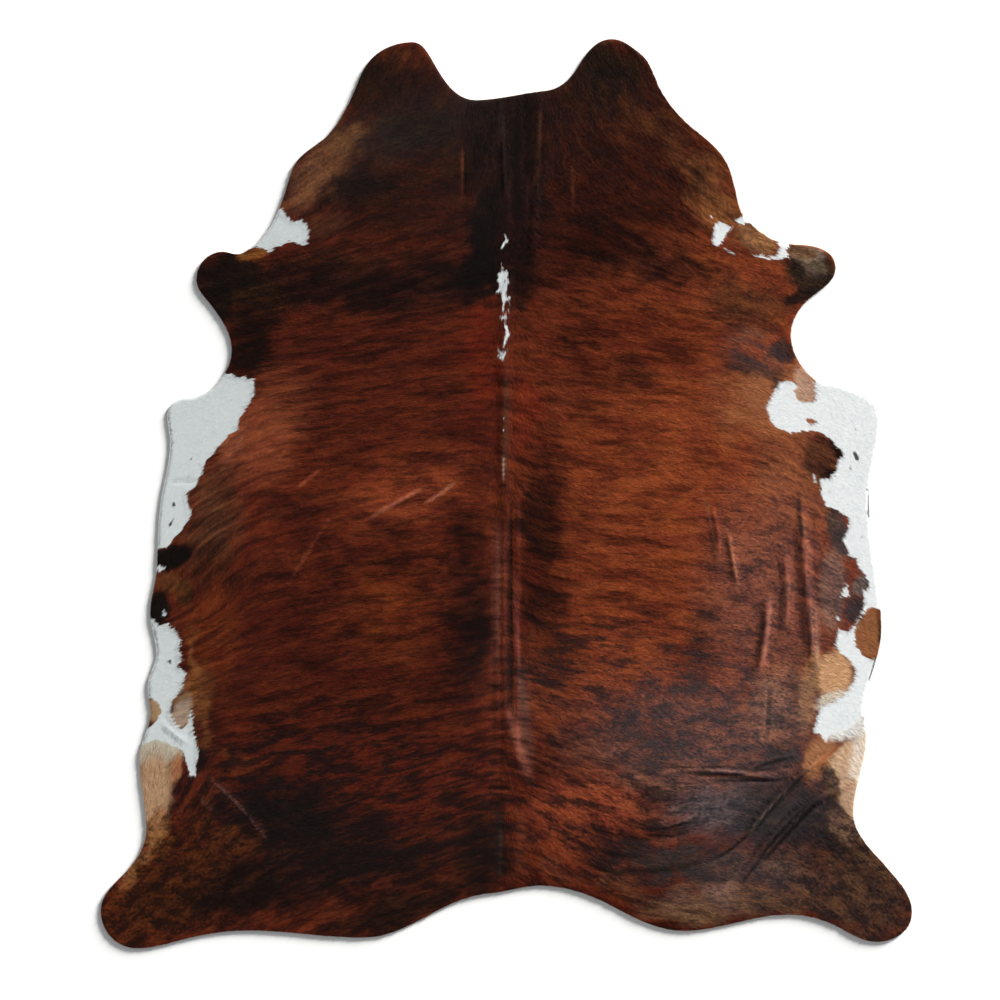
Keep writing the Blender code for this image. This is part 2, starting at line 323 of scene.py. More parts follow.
FLOWS = [Flow(*row) for row in (
    # right withers, shoulder, side of the neck, neck, ear and cheek
    (126, 548, -8), (336, 548, -12), (219, 618, -18), (313, 759, -40), (247, 969, -62), (477, 712, -50),
    # right foreleg, low shoulder, armpit, chest and outer chest
    (711, 524, -20), (501, 454, -6), (618, 337, -25), (219, 384, 0), (454, 337, 2),
    # right ribs, outer ribs, flank and low flank
    (266, 196, -2), (547, 173, -8), (688, 56, -30), (711, -155, -35),
    # right of the spine, at the ribs and the loin, out to the outer loin
    (41, 126, -28), (90, 91, -6), (37, -62, -42), (69, -85, -8), (126, -108, 0), (266, -85, 0),
    (501, -108, -4),
    # right of the spine at the hips, out to the outer hip
    (37, -296, -42), (79, -308, -8), (149, -343, 3), (313, -366, -4), (547, -366, -6),
    # right rump, out to the thigh
    (90, -554, -20), (219, -577, -10), (454, -601, -8), (688, -718, -30),
    # beside the tail, right ham and hind leg
    (126, -835, -35), (219, -788, -22), (325, -835, -12), (430, -776, 16), (547, -929, -5),
    (829, -929, -40),
    # left neck, ear, cheek, side of the neck and nape
    (-202, 852, 22), (-284, 969, 60), (-448, 712, 45), (-249, 688, 12), (-15, 805, 85),
    # left withers, shoulder, outer shoulder and foreleg
    (-132, 512, 14), (-320, 466, 6), (-484, 454, -5), (-648, 489, 5),
    # left chest, outer chest, inner ribs, ribs and outer ribs
    (-179, 360, 0), (-484, 348, 2), (-156, 149, 0), (-320, 196, 2), (-484, 208, 10),
    # left flank, belly and back
    (-582, 126, 40), (-636, -15, 45), (-671, -179, 72), (-507, 32, 12), (-378, 56, 12), (-226, -3, 8),
    (-437, -108, 15),
    # left loin, out to the side of the hip
    (-132, -155, 3), (-296, -226, 3), (-531, -249, 5), (-659, -390, 15),
    # left of the spine, and the left hip
    (-43, -249, 20), (-43, -483, 22), (-156, -437, 5), (-366, -460, 4), (-554, -507, 2),
    # left rump, out to the thigh
    (-179, -647, 13), (-390, -694, 12), (-577, -671, 12), (-788, -694, 70),
    # beside the tail, left ham and hind leg
    (-156, -858, 18), (-366, -905, 15), (-577, -905, 22), (-835, -952, 40),
)]

# The coat's tones, each an oval laid softly over those before it: its long and short half, the turn of
# its long axis, the lighter hair's colour, the share of dark brindle in it, and how far it covers.
# Ovals named sheen or gloss paint a highlight, the hair's sheen, into its colour.
Tone = namedtuple("Tone", "place across along long_half short_half turn colour dark cover")

BODY_COLOUR = "5c2415"
BODY_DARK = 0.42

BODY_TONES = [Tone(*row) for row in (
    ("neck", -3, 829, 562, 258, 0, "3c1c14", 0.62, 0.9),
    ("right side", 536, 126, 703, 445, 90, "904428", 0.24, 1),
    ("right chest", 266, 360, 258, 129, 0, "6c2c1a", 0.34, 0.85),
    ("right ribs glow", 629, 224, 136, 108, 0, "ac6c48", 0.08, 0.9),
    ("right flank brown", 688, 32, 141, 103, 90, "96573a", 0.2, 0.85),
    ("right ribs dull", 219, 126, 141, 105, 0, "7c361f", 0.3, 0.6),
    ("right loin", 313, -226, 328, 211, 0, "863d24", 0.32, 0.8),
    ("right hip", 243, -460, 258, 129, 0, "84402a", 0.4, 0.85),
    ("right hip glow", 126, -366, 94, 61, 0, "6c321e", 0.35, 0.6),
    ("right hip glow, outer", 294, -394, 103, 47, 0, "964c2c", 0.26, 0.6),
    ("left ribs glow", -573, 149, 169, 89, 60, "7e402a", 0.22, 0.72),
    ("left ribs edge", -652, 107, 70, 28, 60, "8e5036", 0.18, 0.8),
    ("left chest", -320, 348, 281, 89, 0, "4c1c12", 0.42, 0.7),
    ("left belly light", -226, 4, 178, 75, 20, "7c3721", 0.3, 0.85),
    ("left chest red", -52, 313, 141, 56, 90, "641f10", 0.3, 0.7),
    ("left ribs red", -62, 149, 94, 70, 0, "4c1810", 0.42, 0.6),
    ("left loin", -413, -319, 328, 234, 0, "4e1c11", 0.5, 0.8),
    ("left loin glow", -282, -261, 112, 75, 10, "6a2e16", 0.28, 0.85),
    ("left loin low glow", -249, -362, 117, 52, 10, "5c2614", 0.38, 0.7),
    ("left loin shade", -170, -460, 52, 35, 60, "34120c", 0.66, 0.6),
    ("left rump", -437, -647, 445, 187, 0, "48190f", 0.6, 0.85),
    ("left rump dark", -521, -765, 178, 108, -12, "1b100f", 0.93, 0.95),
    ("left ham dark", -378, -863, 305, 89, 8, "24120f", 0.9, 0.9),
    ("left tail glow", -156, -699, 141, 70, 5, "4c1c12", 0.5, 0.7),
    ("left ham edge", -261, -980, 187, 47, 18, "241811", 0.82, 0.8),
    ("left hock", -666, -830, 155, 75, -25, "3a1a10", 0.64, 0.8),
    ("left hind leg", -812, -947, 187, 108, 30, "48220f", 0.66, 0.95),
    ("left hind leg inner", -624, -943, 141, 66, 10, "22120d", 0.88, 0.85),
    ("left hind leg edge", -859, -854, 80, 23, 48, "8a5a38", 0.34, 0.8),
    ("left olive flank", -695, -73, 131, 66, 80, "5c3624", 0.56, 0.9),
    ("left olive flank, low", -690, -179, 70, 52, 80, "3a2416", 0.78, 0.8),
    ("left belly brown", -690, -308, 178, 66, 90, "642a14", 0.42, 0.85),
    ("left thigh brown", -716, -512, 108, 23, 88, "724426", 0.34, 0.9),
    ("left thigh fringe", -741, -427, 103, 16, 88, "84522e", 0.16, 0.8),
    ("left thigh black", -711, -633, 33, 16, 80, "1a100c", 0.92, 0.9),
    ("left thigh black, inner", -652, -596, 37, 21, 10, "241310", 0.85, 0.7),
    ("left hock glow", -624, -816, 56, 35, 0, "5e3018", 0.35, 0.45),
    ("left hock glow, upper", -617, -629, 47, 26, 0, "6e3418", 0.35, 0.7),
    ("left hock glow, outer", -709, -746, 47, 28, 60, "6a3418", 0.38, 0.45),
    ("left shoulder dark", -308, 489, 398, 70, 3, "2e1511", 0.8, 0.95),
    ("left shoulder brown", -413, 543, 117, 37, 0, "3c1e14", 0.62, 0.7),
    ("left foreleg", -643, 482, 117, 84, -30, "221510", 0.86, 0.97),
    ("left foreleg glow", -566, 454, 80, 33, -5, "3c2112", 0.6, 0.8),
    ("left foreleg streak", -577, 426, 70, 14, 5, "48200f", 0.35, 0.7),
    ("left armpit", -594, 346, 89, 61, 80, "260f0a", 0.84, 0.9),
    ("left neck", -226, 688, 211, 112, 0, "38190f", 0.58, 0.85),
    ("left neck red", -156, 653, 103, 52, 0, "3e1a12", 0.5, 0.7),
    ("left neck sheen", -238, 857, 141, 56, 18, "34261f", 0.52, 0.9),
    ("left neck dark", -362, 730, 103, 56, -10, "281812", 0.78, 0.85),
    ("left neck spot", -376, 838, 52, 33, 20, "64422c", 0.4, 0.8),
    ("nape, left", -179, 864, 80, 103, 80, "20140f", 0.8, 0.6),
    ("left cheek", -460, 735, 108, 47, 52, "6f4631", 0.4, 0.9),
    ("left jaw", -425, 630, 56, 42, 0, "46281c", 0.5, 0.7),
    ("nape", -15, 852, 176, 112, 90, "2a1a16", 0.8, 0.85),
    ("left withers black", -62, 543, 80, 45, 85, "100c0c", 0.96, 0.95),
    ("left withers black, low", -85, 505, 66, 28, 20, "140e0e", 0.92, 0.8),
    ("left withers black, top", -38, 674, 66, 21, 70, "12100f", 0.92, 0.85),
    ("left withers shade", -41, 604, 70, 26, 72, "100c0c", 0.93, 0.92),
    ("left withers core", -48, 562, 103, 35, 82, "0e0c0c", 0.97, 0.9),
    ("withers core, under", -10, 562, 33, 23, 90, "120e0e", 0.95, 0.9),
    ("left ear", -284, 969, 103, 89, 0, "30190f", 0.72, 0.9),
    ("left ear dark rim", -343, 988, 61, 33, 60, "1c1310", 0.86, 0.8),
    ("left ear glow", -231, 1030, 37, 21, 0, "5a2e18", 0.4, 0.8),
    ("right neck", 290, 712, 223, 141, 0, "40180e", 0.56, 0.9),
    ("right ear", 238, 979, 103, 94, 0, "301e14", 0.76, 0.95),
    ("right ear glow", 271, 894, 70, 28, -75, "5c301a", 0.42, 0.7),
    ("right neck edge", 388, 829, 117, 33, -45, "603620", 0.46, 0.75),
    ("right cheek", 496, 688, 108, 52, -58, "8c5433", 0.36, 0.95),
    ("right cheek dark", 451, 726, 33, 33, 0, "4c2a1a", 0.55, 0.75),
    ("right withers", 210, 580, 145, 61, -6, "3c160e", 0.58, 0.85),
    ("right withers, outer", 348, 543, 84, 47, -12, "44201a", 0.6, 0.7),
    ("right neck dark", 224, 623, 122, 21, -19, "2c150e", 0.74, 0.5),
    ("right shoulder dark", 426, 529, 94, 37, -10, "4a2416", 0.64, 0.7),
    ("right foreleg root", 566, 440, 103, 56, -10, "5e3824", 0.55, 0.7),
    ("right foreleg root, low", 571, 365, 47, 16, 0, "8a5c46", 0.2, 0.6),
    ("right armpit dark", 585, 304, 75, 33, -14, "4a3632", 0.76, 0.85),
    ("right of the withers", 41, 519, 98, 28, 90, "1c1110", 0.86, 0.5),
    ("withers dark", 32, 627, 141, 70, 90, "281212", 0.86, 0.8),
    ("right back mottle", 168, 348, 61, 16, -8, "40190f", 0.74, 0.6),
    ("right back mottle, low", 299, 285, 61, 37, 0, "54261a", 0.62, 0.5),
    ("left of the spine", -95, -333, 202, 56, 86, "34130f", 0.7, 0.8),
    ("left of the spine, core", -71, -301, 94, 30, 84, "1e0f0e", 0.82, 0.6),
    ("right of the spine", 86, -155, 234, 52, 89, "38150d", 0.64, 0.75),
    ("right of the spine, red", 41, -226, 187, 23, 90, "4e1b11", 0.5, 0.75),
    ("right of the spine, core", 58, -62, 80, 33, 80, "30130e", 0.6, 0.7),
    ("right of the spine, low", 116, -394, 103, 42, 90, "34150d", 0.76, 0.3),
    ("right of the ribs", 51, 184, 103, 35, 90, "7c2c1a", 0.22, 0.7),
    ("left of the spine, high", -90, -108, 70, 42, 84, "34120d", 0.74, 0.75),
    ("tail dark, left", -57, -849, 145, 80, 90, "22120e", 0.82, 0.85),
    ("right mauve flank", 618, -249, 258, 164, 90, "8c5646", 0.38, 0.85),
    ("right rump grey", 463, -605, 295, 164, 0, "80584c", 0.56, 0.88),
    ("right rump, upper", 336, -565, 103, 61, -20, "603a30", 0.66, 0.7),
    ("right rump, outer", 636, -493, 94, 70, 60, "9a7460", 0.32, 0.75),
    ("tail orange", 187, -746, 131, 103, 0, "92442c", 0.4, 0.85),
    ("right ham shade", 294, -840, 117, 47, -8, "40201a", 0.72, 0.75),
    ("right rump sheen", 510, -746, 127, 66, 0, "6a6064", 0.48, 0.88),
    ("right thigh black", 679, -751, 155, 94, 0, "403634", 0.74, 0.93),
    ("right thigh black, outer", 786, -826, 80, 37, -40, "2a211c", 0.85, 0.85),
    ("right hock brown", 566, -877, 80, 37, 30, "70483c", 0.5, 0.75),
    ("right loin shade", 454, -378, 84, 61, 60, "4c2a22", 0.62, 0.5),
    ("right fan dark", 646, -605, 56, 33, 0, "3a302e", 0.74, 0.8),
    ("right ham dark", 407, -863, 122, 40, -6, "4a3a32", 0.66, 0.85),
    ("right ham sheen", 618, -886, 145, 56, -8, "645048", 0.55, 0.8),
    ("right ham foot", 646, -959, 145, 33, 0, "6a4a38", 0.46, 0.9),
    ("right ham edge", 454, -964, 155, 42, 0, "7c5c48", 0.36, 0.85),
    ("right tail edge", 262, -915, 70, 28, -20, "7a4c34", 0.42, 0.55),
    ("tail edge", 116, -877, 61, 26, -25, "6e3a28", 0.42, 0.6),
    ("right ham light", 496, -924, 56, 30, 0, "927262", 0.28, 0.7),
    ("right hind leg", 833, -933, 141, 98, -38, "563a2c", 0.5, 0.95),
    ("right hock light", 819, -807, 56, 23, -50, "5c4434", 0.5, 0.7),
    ("right hind leg edge", 857, -847, 80, 21, -50, "6a4c34", 0.45, 0.7),
)]

FINE_TONES = [Tone(*row) for row in (
    ("left belly tuft", -788, -151, 61, 30, 20, "17110d", 1, 1),
    ("left belly blob", -793, -209, 35, 26, 0, "5a321b", 0.22, 0.95),
    ("left belly dark", -816, -270, 42, 30, 80, "1a130f", 0.95, 1),
    ("left belly glow", -753, -230, 37, 23, 90, "4c3018", 0.5, 0.7),
    ("left foreleg lip", -596, 562, 42, 16, 8, "744420", 0.22, 0.95),
    ("right shoulder blob", 587, 594, 56, 33, -35, "a2704c", 0.3, 0.97),
    ("right foreleg", 716, 519, 70, 56, -40, "463426", 0.72, 0.95),
    ("right foreleg gloss", 716, 538, 42, 26, -40, "7c6858", 0.34, 0.7),
    ("right foreleg light", 702, 562, 47, 19, -8, "b49a88", 0.2, 0.9),
    ("right foreleg under", 688, 461, 42, 16, 20, "221a14", 0.9, 0.8),
    ("right armpit shade", 648, 332, 37, 23, -40, "3c2420", 0.8, 0.8),
    ("right foreleg top", 693, 566, 42, 19, -12, "7c5636", 0.3, 0.85),
    ("right armpit tan", 697, 271, 33, 21, -50, "cda086", 0.1, 0.95),
    ("right armpit island", 697, 238, 37, 30, -60, "cca48c", 0.08, 0.97),
    ("right flank speck", 716, 168, 23, 16, -15, "a4684a", 0.1, 1),
    ("right tan", 768, -427, 63, 47, 80, "dcac80", 0.02, 1),
    ("right tan, outer", 716, -418, 61, 21, 80, "a8784e", 0.24, 0.75),
    ("right tan foot", 763, -483, 47, 21, 20, "e4d8c6", 0.02, 0.9),
    ("right thigh orange", 735, -615, 66, 37, 62, "b27a54", 0.04, 1),
    ("right thigh pale", 791, -633, 75, 33, 62, "e0bc98", 0.02, 0.97),
    ("right thigh beige", 829, -629, 98, 28, 85, "f2e2d0", 0, 0.95),
    ("right thigh white fade", 805, -549, 61, 26, 20, "eeebe6", 0, 0.97),
    ("right thigh brown edge", 704, -488, 84, 23, 84, "a27a5c", 0.2, 0.85),
    ("right thigh foot", 805, -708, 66, 33, -65, "ceaa8c", 0.05, 0.92),
    ("right thigh mottle", 761, -678, 49, 21, -70, "5a3c28", 0.6, 0.85),
    ("right flank oval", 847, -326, 70, 40, 90, "a06642", 0.02, 1),
    ("right flank tuft", 829, -216, 30, 21, 60, "747068", 0.42, 0.8),
    ("right flank tuft, low", 817, -273, 33, 23, 80, "443632", 0.74, 0.85),
    ("right flank tuft, top", 744, 88, 63, 52, 60, "5c3626", 0.4, 0.85),
    ("right flank tuft, rim", 782, 98, 61, 14, -64, "241914", 0.9, 0.6),
    ("right flank tuft, foot", 754, 39, 28, 14, 20, "241914", 0.9, 0.6),
    ("right flank tuft, middle", 779, -94, 70, 26, -70, "5c4c44", 0.62, 0.85),
    ("right flank edge", 763, -221, 108, 33, 88, "8a6a5c", 0.34, 0.85),
    ("left thigh beige", -830, -601, 84, 42, 0, "b0a592", 0, 0.97),
    ("left thigh warm", -774, -643, 40, 16, 80, "a46e4c", 0.1, 0.95),
    ("left thigh tan", -828, -699, 98, 49, 84, "b08c6c", 0.04, 0.95),
    ("left thigh end", -816, -783, 56, 28, 78, "8e5e3c", 0.36, 0.8),
    ("left hind leg tuft", -807, -830, 42, 23, 50, "5c3218", 0.5, 0.7),
    ("left thigh blob", -823, -504, 33, 21, 90, "96785a", 0.02, 0.97),
    ("left thigh grey", -760, -512, 47, 23, 75, "9c8674", 0.05, 0.97),
    ("left thigh grey, top", -762, -474, 28, 14, 20, "6e4e38", 0.2, 0.7),
    ("right thigh shade", 786, -779, 52, 30, -50, "866450", 0.4, 0.8),
)]

# Straight streaks of tone along the spine and over the folds and creases: most paint highlight, sheen and
# shade on the sides of folds and into grooves, and some, such as the feathers, are the hair's own colour.
Strip = namedtuple("Strip", "place start bend end width colour dark cover")

STRIPS = [Strip(*row) for row in (
    ("nape line, left", (-102, 833), (-104, 759), (-104, 669), 8, "62341f", 0.25, 0.7),
    ("nape line, middle", (-13, 941), (-13, 876), (-13, 810), 12, "3c3432", 0.3, 0.6),
    ("nape gap", (25, 923), (20, 782), (30, 594), 20, "100c0c", 0.95, 0.8),
    ("nape line, right", (81, 946), (76, 805), (62, 674), 11, "5e3a2c", 0.3, 0.6),
    ("withers line, right", (51, 754), (48, 698), (46, 627), 8, "522e2c", 0.4, 0.5),
    ("nape line, inner", (8, 754), (6, 698), (11, 627), 8, "50302c", 0.5, 0.5),
    ("neck line, outer", (154, 791), (154, 723), (156, 655), 8, "703e24", 0.15, 0.65),
    ("spine rim, upper", (11, 594), (15, 501), (11, 360), 10, "2c1b18", 0.6, 0.7),
    ("spine line, upper", (-1, 337), (-1, 149), (-6, -15), 16, "503024", 0.35, 0.85),
    ("spine hairs, upper", (-8, 98), (-6, 56), (-8, 23), 3, "b09488", 0, 0.9),
    ("spine crossing", (-20, 16), (-8, 25), (8, 11), 12, "1c1010", 0.9, 0.8),
    ("spine strip, left", (-20, -10), (-20, -226), (-27, -483), 26, "62372f", 0.25, 0.9),
    ("spine strip, low left", (-27, -446), (-24, -577), (-20, -699), 40, "682c1c", 0.35, 0.8),
    ("spine line, left", (-3, -15), (-3, -249), (-6, -483), 6, "6e403a", 0.15, 0.5),
    ("spine groove", (8, 56), (8, -343), (6, -671), 13, "1c0c0a", 0.88, 0.9),
    ("spine strip, right", (20, -155), (22, -296), (30, -460), 14, "7c4038", 0.2, 0.85),
    ("spine ridge, right", (27, 27), (32, -62), (27, -146), 10, "6a3028", 0.3, 0.6),
    ("spine fan, right", (30, -366), (41, -507), (55, -694), 40, "5c3a33", 0.4, 0.8),
    ("tail pink, right", (4, -483), (25, -577), (60, -694), 30, "8e5244", 0.18, 0.8),
    ("spine fan, grey", (32, -418), (37, -483), (51, -540), 8, "4a4040", 0.3, 0.45),
    ("spine notch", (-52, -446), (-29, -444), (-6, -460), 8, "241010", 0.85, 0.7),
    ("spine feather, upper", (13, 56), (41, -15), (97, -34), 10, "1c0f0d", 0.85, 0.6),
    ("spine feather, dark", (18, -38), (41, -108), (107, -137), 18, "1c0f0d", 0.85, 0.6),
    ("spine feather, middle", (27, -188), (60, -244), (196, -240), 16, "220f0c", 0.85, 0.7),
    ("spine feather, lower", (27, -258), (60, -319), (163, -310), 16, "220f0c", 0.85, 0.65),
    ("tail crossing", (-52, -685), (-20, -692), (18, -685), 18, "181010", 0.9, 0.9),
    ("tail strip, left", (-17, -694), (-17, -811), (-20, -924), 32, "251815", 0.6, 0.9),
    ("tail strip, sheen", (-13, -732), (-13, -835), (-15, -915), 10, "3a2c29", 0.3, 0.7),
    ("tail strip, right", (32, -718), (34, -811), (32, -915), 32, "5c2a1c", 0.4, 0.8),
    ("tail nick", (100, -769), (102, -788), (100, -811), 4, "14120c", 1, 0.9),
    ("ribs crease", (-343, -69), (-261, -24), (-179, 23), 12, "9e5a42", 0.05, 0.9),
    ("ribs crease, short", (-200, -26), (-153, -5), (-113, 34), 10, "a06048", 0.05, 0.85),
    ("ribs crease, outer", (-495, 9), (-465, 32), (-432, 60), 10, "984a30", 0.1, 0.7),
    ("ribs crease, long", (-399, -38), (-460, -127), (-516, -221), 10, "84402a", 0.2, 0.6),
    ("rib line", (430, 4), (547, 6), (665, -1), 6, "9c5e3a", 0.1, 0.5),
    ("flank line, inner", (451, 18), (491, -71), (501, -226), 7, "a0624a", 0.08, 0.75),
    ("flank line, inner shade", (461, -26), (484, -85), (491, -183), 6, "5c2a18", 0.55, 0.4),
    ("flank line, second", (510, -57), (533, -151), (547, -258), 7, "a26a50", 0.08, 0.8),
    ("flank line, second shade", (512, -85), (524, -155), (538, -226), 7, "3c1a10", 0.7, 0.6),
    ("flank fold, third", (615, -226), (615, -324), (592, -441), 16, "86584a", 0.12, 0.75),
    ("flank fold, third shade", (601, -249), (604, -333), (578, -422), 12, "341712", 0.75, 0.5),
    ("flank fold, fourth", (655, -155), (658, -249), (653, -338), 8, "8a5c4a", 0.15, 0.65),
    ("flank fold, fourth shade", (643, -155), (643, -249), (639, -343), 7, "42221c", 0.7, 0.6),
    ("flank fold, fifth", (721, -221), (732, -324), (723, -430), 18, "8c6658", 0.16, 0.65),
    ("flank fold, fifth end", (728, -343), (730, -378), (723, -432), 10, "b48e78", 0, 0.6),
    ("flank fold, fifth shade", (702, -226), (714, -305), (707, -432), 10, "2a130f", 0.75, 0.5),
    ("flank dark, upper", (681, 9), (686, -52), (697, -127), 13, "36201c", 0.8, 0.75),
    ("flank dark, slant", (620, -1), (629, -17), (643, -41), 14, "40241e", 0.75, 0.7),
    ("loin groove shade", (618, -432), (618, -519), (608, -605), 6, "201512", 0.8, 0.75),
    ("thigh crease one", (313, -640), (454, -640), (585, -647), 6, "140b0a", 0.95, 0.9),
    ("thigh crease sheen", (397, -647), (482, -650), (566, -650), 4, "8a706a", 0.05, 0.8),
    ("thigh crease two", (407, -654), (491, -659), (585, -657), 6, "0e0808", 1, 0.95),
    ("thigh crease glint", (454, -664), (519, -666), (604, -664), 4, "8a5c4c", 0.05, 0.8),
    ("thigh crease fan", (561, -654), (604, -624), (683, -615), 9, "181110", 0.9, 0.85),
    ("thigh crease fan, lower", (571, -652), (618, -645), (681, -636), 8, "1a1211", 0.9, 0.85),
    ("thigh crease grey", (566, -643), (622, -643), (681, -638), 18, "4c3e3a", 0.45, 0.7),
    ("thigh crease three", (454, -669), (561, -676), (679, -669), 7, "0e0808", 1, 0.95),
    ("stifle line", (805, -570), (751, -612), (702, -661), 10, "8a4a22", 0.15, 0.9),
    ("flank oval rim", (871, -277), (878, -324), (873, -362), 10, "20140e", 0.95, 0.9),
    ("hock shade", (688, -694), (650, -732), (608, -788), 26, "1a1412", 0.8, 0.4),
    ("hock line", (723, -636), (650, -694), (561, -816), 16, "0d0908", 1, 1),
    ("hock line end", (585, -774), (547, -830), (463, -868), 9, "140e0d", 0.95, 0.85),
    ("hock line sheen", (681, -673), (618, -725), (552, -816), 6, "6e5e58", 0.05, 0.9),
    ("stifle fan, upper", (833, -671), (800, -678), (768, -687), 4, "d0a078", 0.05, 0.85),
    ("stifle fan, lower", (833, -683), (805, -690), (777, -699), 4, "c8966e", 0.05, 0.8),
    ("hock second, shade left", (744, -697), (655, -769), (552, -903), 12, "100b0a", 1, 0.95),
    ("hock second, shade right", (751, -706), (674, -774), (575, -893), 12, "100b0a", 1, 0.95),
    ("hock second, sheen", (730, -711), (669, -765), (590, -863), 4, "564a46", 0.3, 0.8),
    ("hock second, end", (608, -844), (575, -882), (543, -922), 7, "120c0b", 1, 0.85),
    ("ham crease sheen, upper", (313, -765), (369, -779), (458, -741), 9, "7c4432", 0.2, 0.6),
    ("ham crease sheen, lower", (318, -809), (369, -830), (416, -807), 9, "74402e", 0.2, 0.6),
    ("ham crease, upper", (313, -779), (369, -797), (458, -755), 9, "160a08", 0.95, 0.9),
    ("ham crease, lower", (313, -793), (374, -816), (440, -783), 9, "160a08", 0.95, 0.85),
    ("ham sheen, grey", (533, -840), (496, -858), (454, -875), 12, "504845", 0.2, 0.6),
    ("rump feather, upper", (154, -760), (247, -816), (360, -807), 14, "180d0b", 0.9, 0.65),
    ("rump feather, middle", (130, -797), (233, -858), (369, -858), 16, "180d0b", 0.9, 0.7),
    ("rump feather, low", (219, -877), (360, -905), (491, -849), 22, "1c1210", 0.88, 0.7),
    ("rump feather, last", (140, -849), (219, -886), (313, -905), 12, "1c100c", 0.88, 0.6),
    ("left hock line", (-711, -657), (-620, -718), (-540, -840), 7, "664646", 0.15, 0.85),
    ("left hock line, short", (-723, -708), (-699, -734), (-678, -751), 6, "64423c", 0.15, 0.75),
)]

# The brindle's grain, laid like the tones: how far it is round blotches and not stripes, how
# strongly it varies, and how much painted sheen, a grey highlight in the colour, lies on the hair there.
Grain = namedtuple("Grain", "place across along long_half short_half turn blotched strong shine")

BODY_GRAIN = (0.12, 0.36, 0.0)

GRAINS = [Grain(*row) for row in (
    ("neck", -3, 829, 586, 246, 0, 0.65, 0.3, 0.05),
    ("left neck", -249, 848, 199, 80, 18, 0.6, 0.26, 0.14),
    ("right shoulder", 313, 524, 305, 117, 0, 0.2, 0.42, 0),
    ("left rump", -390, -718, 445, 197, 0, 0.22, 0.8, 0.05),
    ("left belly", -613, -343, 164, 187, 90, 0.1, 0.28, 0),
    ("left foreleg", -601, 477, 187, 129, 0, 0.6, 0.42, 0),
    ("left hind leg", -812, -905, 246, 178, 0, 0.8, 0.6, 0),
    ("right hip", 313, -437, 351, 155, 0, 0.35, 0.66, 0.2),
    ("right flank", 629, -249, 305, 164, 90, 0.7, 0.52, 0.45),
    ("right flank edge", 796, -198, 173, 52, 88, 0.85, 0.45, 0.85),
    ("right rump", 505, -589, 305, 197, 0, 0.85, 0.62, 0.85),
    ("right hock", 676, -753, 164, 103, 0, 0.8, 0.42, 0.55),
    ("beside the tail", 233, -779, 225, 141, 0, 0.35, 0.78, 0.1),
    ("right ham", 571, -863, 277, 108, 0, 0.65, 0.5, 0.6),
    ("right hind leg", 829, -929, 223, 141, -35, 0.9, 0.6, 0.2),
    ("right foreleg", 665, 477, 176, 152, 0, 0.8, 0.3, 0.1),
    ("right armpit", 587, 332, 98, 52, -15, 0.5, 0.4, 0.75),
)]


# ---------------------------------------------------------------- charts over the hide

def chart_axis(low, high):
    return np.arange(low - CHART_MARGIN, high + CHART_MARGIN, CHART_CELL)


COLUMNS = chart_axis(CAD_BOX[0].x, CAD_BOX[1].x)
ROWS = chart_axis(CAD_BOX[0].y, CAD_BOX[1].y)
ACROSS, ALONG = np.meshgrid(COLUMNS, ROWS)


def read_chart(chart, places):
    """The chart's values at places, blended between its cells."""
    column = np.clip((places[:, 0] - COLUMNS[0]) / CHART_CELL, 0, len(COLUMNS) - FAR_SIDE_GAP)
    row = np.clip((places[:, 1] - ROWS[0]) / CHART_CELL, 0, len(ROWS) - FAR_SIDE_GAP)
    left, below = column.astype(int), row.astype(int)
    rightward, upward = column - left, row - below
    if chart.ndim == 3:
        rightward, upward = rightward[:, None], upward[:, None]
    lower = chart[below, left] * (1 - rightward) + chart[below, left + 1] * rightward
    upper = chart[below + 1, left] * (1 - rightward) + chart[below + 1, left + 1] * rightward
    return lower * (1 - upward) + upper * upward


def window(points, reach):
    """The part of the chart within reach of some points."""
    low, high = np.min(points, axis=0) - reach, np.max(points, axis=0) + reach
    rows = slice(*np.searchsorted(ROWS, (low[1], high[1])))
    columns = slice(*np.searchsorted(COLUMNS, (low[0], high[0])))
    return rows, columns


def nearest_on(start, end, near):
    """In a window: the distance to a straight line, and how far along it."""
    along = end - start
    from_start = np.stack((ACROSS[near] - start[0], ALONG[near] - start[1]), axis=-1)
    share = np.clip(from_start @ along / (along @ along), 0, 1)
    off = from_start - share[..., None] * along
    return np.hypot(off[..., 0], off[..., 1]), share


def depth_in(ring, reach):
    """How deep each cell lies inside a closed ring: below zero outside, and no more than reach."""
    distance = np.full(ACROSS.shape, reach)
    inside = np.zeros(ACROSS.shape, bool)
    for start, end in zip(ring, np.roll(ring, -1, axis=0)):
        near = window((start, end), reach)
        distance[near] = np.minimum(distance[near], nearest_on(start, end, near)[0])
        if start[1] != end[1]:
            level = slice(*np.searchsorted(ROWS, sorted((start[1], end[1]))))
            slant = (end[0] - start[0]) / (end[1] - start[1])
            crossing = start[0] + (ROWS[level] - start[1]) * slant
            inside[level] ^= COLUMNS[None, :] < crossing[:, None]
    return np.where(inside, distance, -distance)


def depth_in_strokes(strokes, reach=0.01):
    depth = np.full(ACROSS.shape, -reach)
    for stroke in strokes:
        start, end = np.array(stroke.start) * MM, np.array(stroke.end) * MM
        near = window((start, end), reach)
        distance, share = nearest_on(start, end, near)
        width = stroke.start_width + (stroke.end_width - stroke.start_width) * share
        depth[near] = np.maximum(depth[near], width * MM / 2 - distance)
    return depth


def cloud(size, seed):
    """Smooth random hills of about a size, with mean 0 and spread 1."""
    grains = np.random.default_rng(seed).standard_normal(ACROSS.shape)
    frequency = np.hypot(*np.meshgrid(np.fft.fftfreq(len(COLUMNS), CHART_CELL),
                                      np.fft.fftfreq(len(ROWS), CHART_CELL)))
    smooth = np.fft.ifft2(np.fft.fft2(grains) * np.exp(-(frequency * size) ** 2)).real
    return (smooth - smooth.mean()) / smooth.std()


def smooth_step(low, high, value):
    share = np.clip((value - low) / (high - low), 0, 1)
    return share * share * (3 - 2 * share)


# ---------------------------------------------------------------- outline and folds

